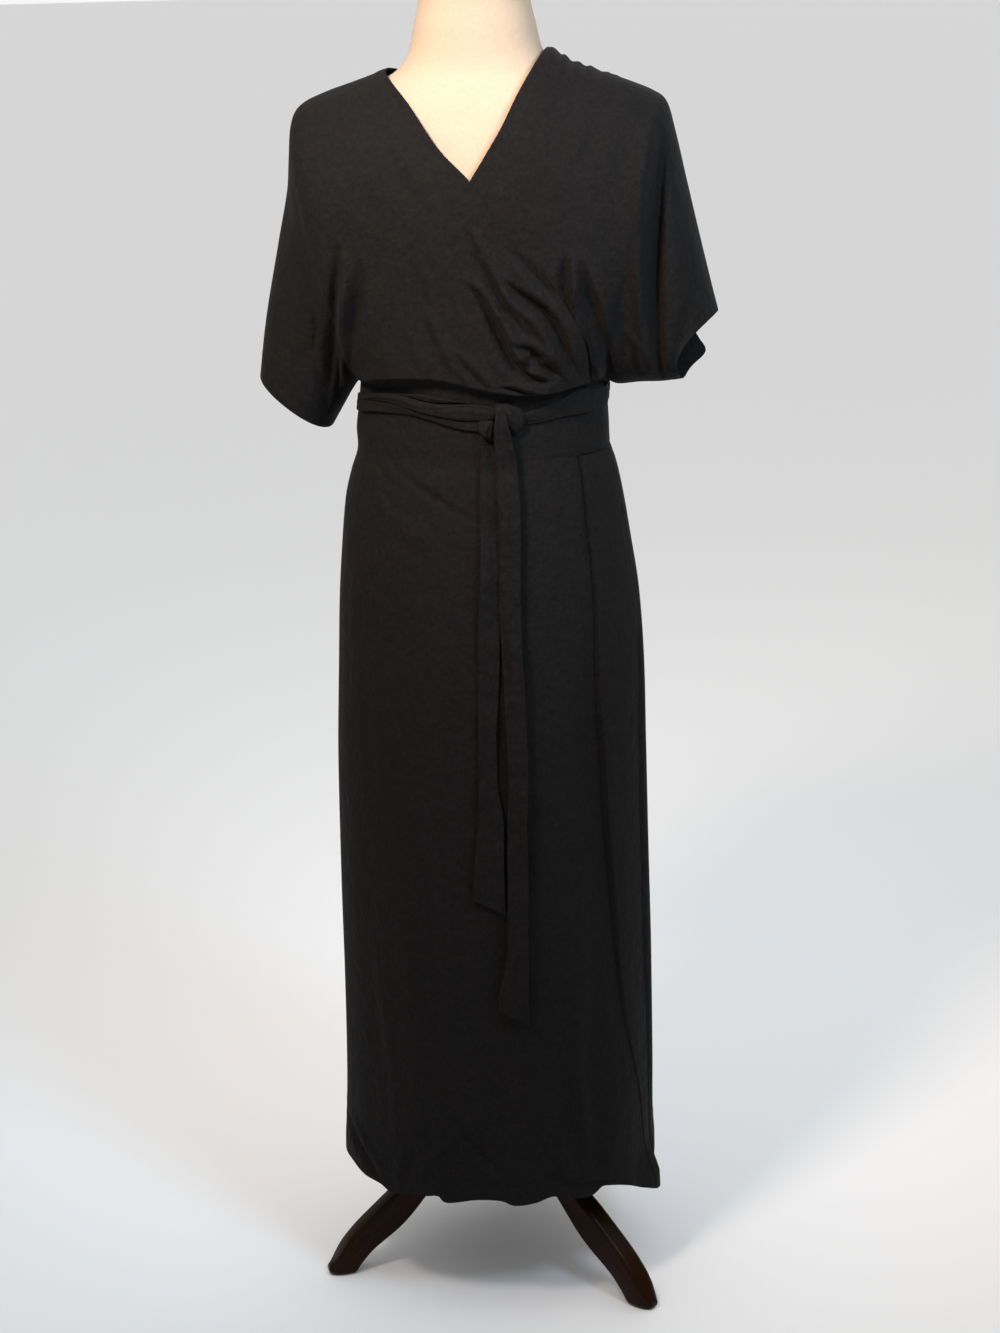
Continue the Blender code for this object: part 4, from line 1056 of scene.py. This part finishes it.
def whole_back(across, down):
    """The back, whose top runs along the shoulders and round the nape, where the turn goes from 0 to 180."""
    turn = stops(across, (0, 0), (NAPE_FROM, 0), (NAPE_TO, 180), (1, 180))
    middle, reach = (NECK_LEFT + NECK_RIGHT) / 2, (NECK_LEFT - NECK_RIGHT) / 2
    place = stops(across, (0, -1), (BACK_SLEEVE, -SIDE_PLACE), (NAPE_FROM, NECK_RIGHT), (NAPE_TO, NECK_LEFT),
                  (1 - BACK_SLEEVE, SIDE_PLACE), (1, 1))
    place = np.where((turn > 0) & (turn < 180), middle - reach * np.cos(np.radians(turn)), place)
    drop = BACK_NECK_DROP * np.sin(np.radians(turn)) ** 2
    start = np.arccos(1 - 2 * drop) / np.pi
    return bodice(1, place, start + (1 - start) * down, BACK_CREASES)


def cuff_row(name, across):
    return name, (across, 0.02), (across, 0.98)


sew(
    ("front_right", right_front, 226, 190, "bodice_front_right", (0.52, 0.42), 0.122,
     cuff_row("right_cuff_stitches", RIGHT_SLEEVE * CUFF_ROW),
     ("right_neck_stitches", (0.985, 0.01), (0.985, 0.90))),
    ("front_left", left_front, 196, 180, "bodice_front_left", (0.50, 0.42), 0.117,
     cuff_row("left_cuff_stitches", 1 - LEFT_SLEEVE * CUFF_ROW),
     ("left_neck_stitches", (0.013, 0.01), (0.013, 0.80))),
    ("bodice_rear", whole_back, 260, 140, "bodice_back", (0.62, 0.42), 0.205,
     cuff_row("right_cuff_back_stitches", BACK_SLEEVE * CUFF_ROW),
     cuff_row("left_cuff_back_stitches", 1 - BACK_SLEEVE * CUFF_ROW),
     ("neck_back_stitches", (0.378, 0.022), (0.622, 0.022))),
)


# Tie belt
# A long sash of the same crepe, turned out double and pressed. It is creased into two strands on the right,
# tied in a flat knot at the front, and its two ends hang free.

# How far a strand or the knot lies off the waistband's middle
BELT_OFF = 0.8
BELT_CLEARANCE = 0.9
# Angle from the front, height of the middle, width, lean in degrees
BELT_RIGHT_UPPER = (
    (-61, 1050.5, 8, 10), (-50, 1055, 8, 15), (-39, 1056, 9.5, 10), (-33, 1055, 10.5, 5),
    (-25, 1051.5, 11.5, 0), (-16.5, 1047, 13, -5), (-8.5, 1044.5, 15.5, -5), (-1, 1043.3, 17, 0),
    (5.5, 1042.5, 15.5, 5), (12, 1042, 11, 10), (18, 1042.5, 8, 10),
)
BELT_RIGHT_LOWER = (
    (-61, 1045, 16, -10), (-48, 1046.5, 15, -10), (-39, 1046.5, 14, 0), (-31, 1045.5, 12, 10),
    (-25, 1043.5, 10, 10), (-16.5, 1038.5, 9, 0), (-8.5, 1033.5, 10, 0), (-1.5, 1030, 11.5, -5),
    (8, 1028, 11, -10),
)
BELT_FOLD = (
    (-46, 1058.5, 2.5, 0), (-39, 1059, 3, 0), (-25, 1059.5, 4.5, 0), (-21, 1058.5, 6, 5),
    (-16.5, 1057, 7.5, 10), (-13, 1056, 6, 10), (-10, 1055.5, 4.5, 5), (-5.5, 1054.5, 2.5, 0),
    (0, 1053, 2, 0),
)
BELT_LEFT = (
    (19, 1034.5, 12, 20), (22, 1035.5, 13, 15), (28.5, 1038, 15, 5), (35, 1041, 17.5, 0),
    (41.5, 1044.5, 21, 0), (49, 1047.5, 24, -5), (58.5, 1048.5, 24, -5), (67, 1048.5, 23, 0),
    (90, 1048.5, 20, 0),
)
BELT_BACK = (
    (90, 1048.5, 20, 0), (120, 1047, 20, 10), (150, 1044, 22, 0), (180, 1043, 22, -10), (210, 1042, 21, 0),
    (240, 1040, 19, 8), (270, 1040, 18, 0), (298.8, 1046, 19, 0),
)
# Height, x of the middle, half width, how far it stands out
KNOT_LOOP = (
    (1020, 47, 2.5, 5), (1026, 48, 6, 8.5), (1031, 47.5, 9.5, 10.5), (1037, 44, 13.5, 11.5),
    (1043, 41.5, 15, 11.5), (1048, 38, 12.5, 10), (1052, 34, 6, 6),
)
KNOT_TURN = (
    (1015, 20, 3, 6), (1019, 18, 5.5, 9), (1025, 16.5, 8, 10.5), (1031, 16.5, 8.5, 10), (1035, 17, 7, 7),
)
# Height, x of the middle, width, turn about the vertical in degrees
LONG_TAIL = (
    (374, 37, 34, 0), (399, 38.5, 31, 5), (444, 44.5, 23.5, 6), (506, 45.5, 22.5, -8), (578, 46, 22.5, 5),
    (626, 47, 21, 5), (696, 47.5, 21.7, -6), (740, 46.5, 22.5, 0), (805, 43, 22.5, 6), (890, 42, 22, 0),
    (953, 40.3, 22.5, -8), (994, 38.4, 20.5, 3), (1012, 36, 19, 0), (1030, 34.5, 15.5, -8),
    (1045, 33, 9, -14),
)
SHORT_TAIL = (
    (502, 12.5, 36, 0), (567, 14.6, 31.5, 4), (606, 16, 27, 0), (638, 14.6, 20.5, -6), (694, 15.4, 19.6, 6),
    (738, 16.2, 21.5, 0), (806, 18.5, 23.5, -6), (868, 20, 22, -18), (931, 20.5, 21.5, -4),
    (994, 19, 18, 0), (1008, 18.3, 13, 0),
)
# How much higher the picture's left corner of a tail's cut end is than its right corner
END_SLANT = 18
# Steps out of the tails' tops over the knot's loop, and the heights between which each is taken
KNOT_STEPS = ((3, 980, 1010), (3.5, 1012, 1032), (-4, 1034, 1045))
# Angle to either side at which the strands are drawn flattest, how far round that goes, and by what share
FLAT_ANGLE, FLAT_SPREAD, FLAT_SHARE = 80, 24, 0.55
# Angles between which the upper right strand rises over the lower one
STRAND_RISE = (-60, -40)


def belt_lift(angle):
    angle = (angle + 180) % 360 - 180
    left_side = LAYER_STEP * (1 - smooth(angle, OVER_END_ANGLE, 90))
    return np.where(angle <= OVER_END_ANGLE, band_lift(angle), left_side)


def strand_surface(table, seed, thickness, proud):
    """A strap laid against the waistband, crushed into creases that wander along it."""
    start, end = table[0][0], table[-1][0]

    def surface(along, around):
        angle = start + (end - start) * along
        height, width, lean = curve(table, angle)
        from_flattest = np.abs(np.abs((angle + 180) % 360 - 180) - FLAT_ANGLE)
        pressed = 1 - FLAT_SHARE * np.exp(-((from_flattest / FLAT_SPREAD) ** 4))
        half_width, lean, half_thick = width / 2, np.radians(lean), thickness / 2 * pressed
        reach = np.hypot(half_width * np.sin(lean), half_thick * np.cos(lean))
        middle = belt_lift(angle) + BELT_OFF + BELT_CLEARANCE * pressed + reach
        middle += proud * smooth(angle, *STRAND_RISE)
        turn = math.tau * (around % 1)
        front = smooth(np.cos(turn), -0.5, 0.3)
        wander = 0.5 * np.sin(angle * 0.06 + seed) + 0.25 * np.sin(angle * 0.17 + 2 * seed)
        valley = bell(np.sin(turn) - wander, 0.16)
        second = bell(np.sin(turn) - wander * 0.4 + 0.55, 0.13)
        crease = 1 + front * (0.15 - 0.55 * valley - 0.3 * second)
        half_width = half_width * (1 + 0.06 * np.sin(angle * 0.21 + seed))
        across, out = half_width * np.sin(turn), half_thick * np.cos(turn) * crease
        up = across * np.cos(lean) - out * np.sin(lean)
        away = across * np.sin(lean) + out * np.cos(lean)
        return ring(angle, height + up, middle + away)

    return surface


def tube_piece(name, surface, columns, sides, *replaced):
    mesh = surface_grid(surface, columns, sides)
    close_tube(mesh)
    return make_piece(name, mesh, crepe, "crepe", *replaced)


def knot_surface(table, seed):
    """A soft lump of turned cloth, whose back follows the waistband."""

    def surface(along, around):
        height = table[0][0] + (table[-1][0] - table[0][0]) * along
        x, half_width, proud = curve(table, height)
        turn = math.tau * (around % 1)
        x = x + half_width * np.sin(turn)
        angle = ring_angle(x, -1, height)
        skin = ring(angle, height, band_lift(angle) + BELT_OFF + BELT_CLEARANCE)
        lean = 0.5 * (along - 0.5) * (-1) ** seed
        crease = 1 - 0.16 * bell(np.sin(turn) - 0.42 - 1.2 * lean, 0.14)
        crease -= (0.08 + 0.1 * along) * bell(np.sin(turn) + 0.35 + 0.8 * lean, 0.12)
        crease += 0.06 * np.sin(7 * along + seed) * np.sin(turn)
        swell = (1 - np.cos(turn)) / 2
        return np.stack((x, skin[:, 1] - proud * crease * swell**0.7, height), axis=-1)

    return surface


def tail_surface(table, seed, clearance):
    """A pressed double tie that hangs in front of the skirt, with a soft crease along it."""

    def surface(across, down):
        height = table[-1][0] + (table[0][0] - table[-1][0]) * down
        x, width, turn = curve(table, height)
        half, turn = (across - 0.5) * width, np.radians(turn)
        fold = 1.2 * np.cos(math.tau * across + 0.012 * height)
        fold += 2 * ripple(half + 30 * seed, height * 0.7, 34, seed + 1)
        fold += 0.9 * ripple(half, height * 0.8, 14, seed)
        low = np.minimum(height, BAND_TOP)
        fronts = [-ring(ring_angle(spot, -1, low), low, LAYER_STEP)[:, 1] for spot in (x - 20, x, x + 20)]
        sway = np.maximum(soft_folds(np.degrees(np.arctan2(x, 150)), height), 0)
        out = np.max(fronts, axis=0) + clearance + sway + np.abs(np.sin(turn)) * width / 2
        out += sum(step * smooth(height, low_end, high_end) for step, low_end, high_end in KNOT_STEPS)
        slant = END_SLANT * (0.5 - across) * smooth(down, 0.80, 1)
        wave = 0.5 * np.sin(height * 0.021 + seed) + 0.4 * np.sin(height * 0.047 + 2 * seed)
        y = -out - half * np.sin(turn) - fold
        return np.stack((x + half * np.cos(turn) + wave, y, height + slant), axis=-1)

    return surface


fold_of_strand = tube_piece("strand_fold", strand_surface(BELT_FOLD, 5, 2.4, 0.0), 70, 24)
for name, table, columns, node_name, seed, thickness, proud, length, pieces in (
    ("strand_upper", BELT_RIGHT_UPPER, 110, "belt_right_upper", 1, 5.0, 1.4, 0.165, [fold_of_strand]),
    ("strand_lower", BELT_RIGHT_LOWER, 90, "belt_right_lower", 2, 3.0, 0.0, 0.145, []),
    ("strand_left", BELT_LEFT, 80, "belt_left", 3, 3.4, 0.0, 0.130, []),
    ("strand_back", BELT_BACK, 220, "belt_back", 4, 3.8, 0.0, 0.43, []),
):
    strand = tube_piece(name, strand_surface(table, seed, thickness, proud), columns, 28, node_name)
for name, table, node_name, seed, size in (
    ("knot_loop", KNOT_LOOP, "belt_knot_loop", 1, (0.030, 0.036)),
    ("knot_turn", KNOT_TURN, "belt_knot_turn", 2, (0.018, 0.022)),
):
    knot = tube_piece(name, knot_surface(table, seed), 40, 48, node_name)
for name, table, node_name, seed, clearance, rows, size, knot_name in (
    ("tail_long", LONG_TAIL, "belt_tail_long", 1, 8.5, 260, (0.022, 0.66), "knot_loop"),
    ("tail_short", SHORT_TAIL, "belt_tail_short", 2, 4.0, 220, (0.020, 0.52), "knot_turn"),
):
    tail = cloth_piece(name, tail_surface(table, seed, clearance), 24, rows, node_name, thickness=2.0)
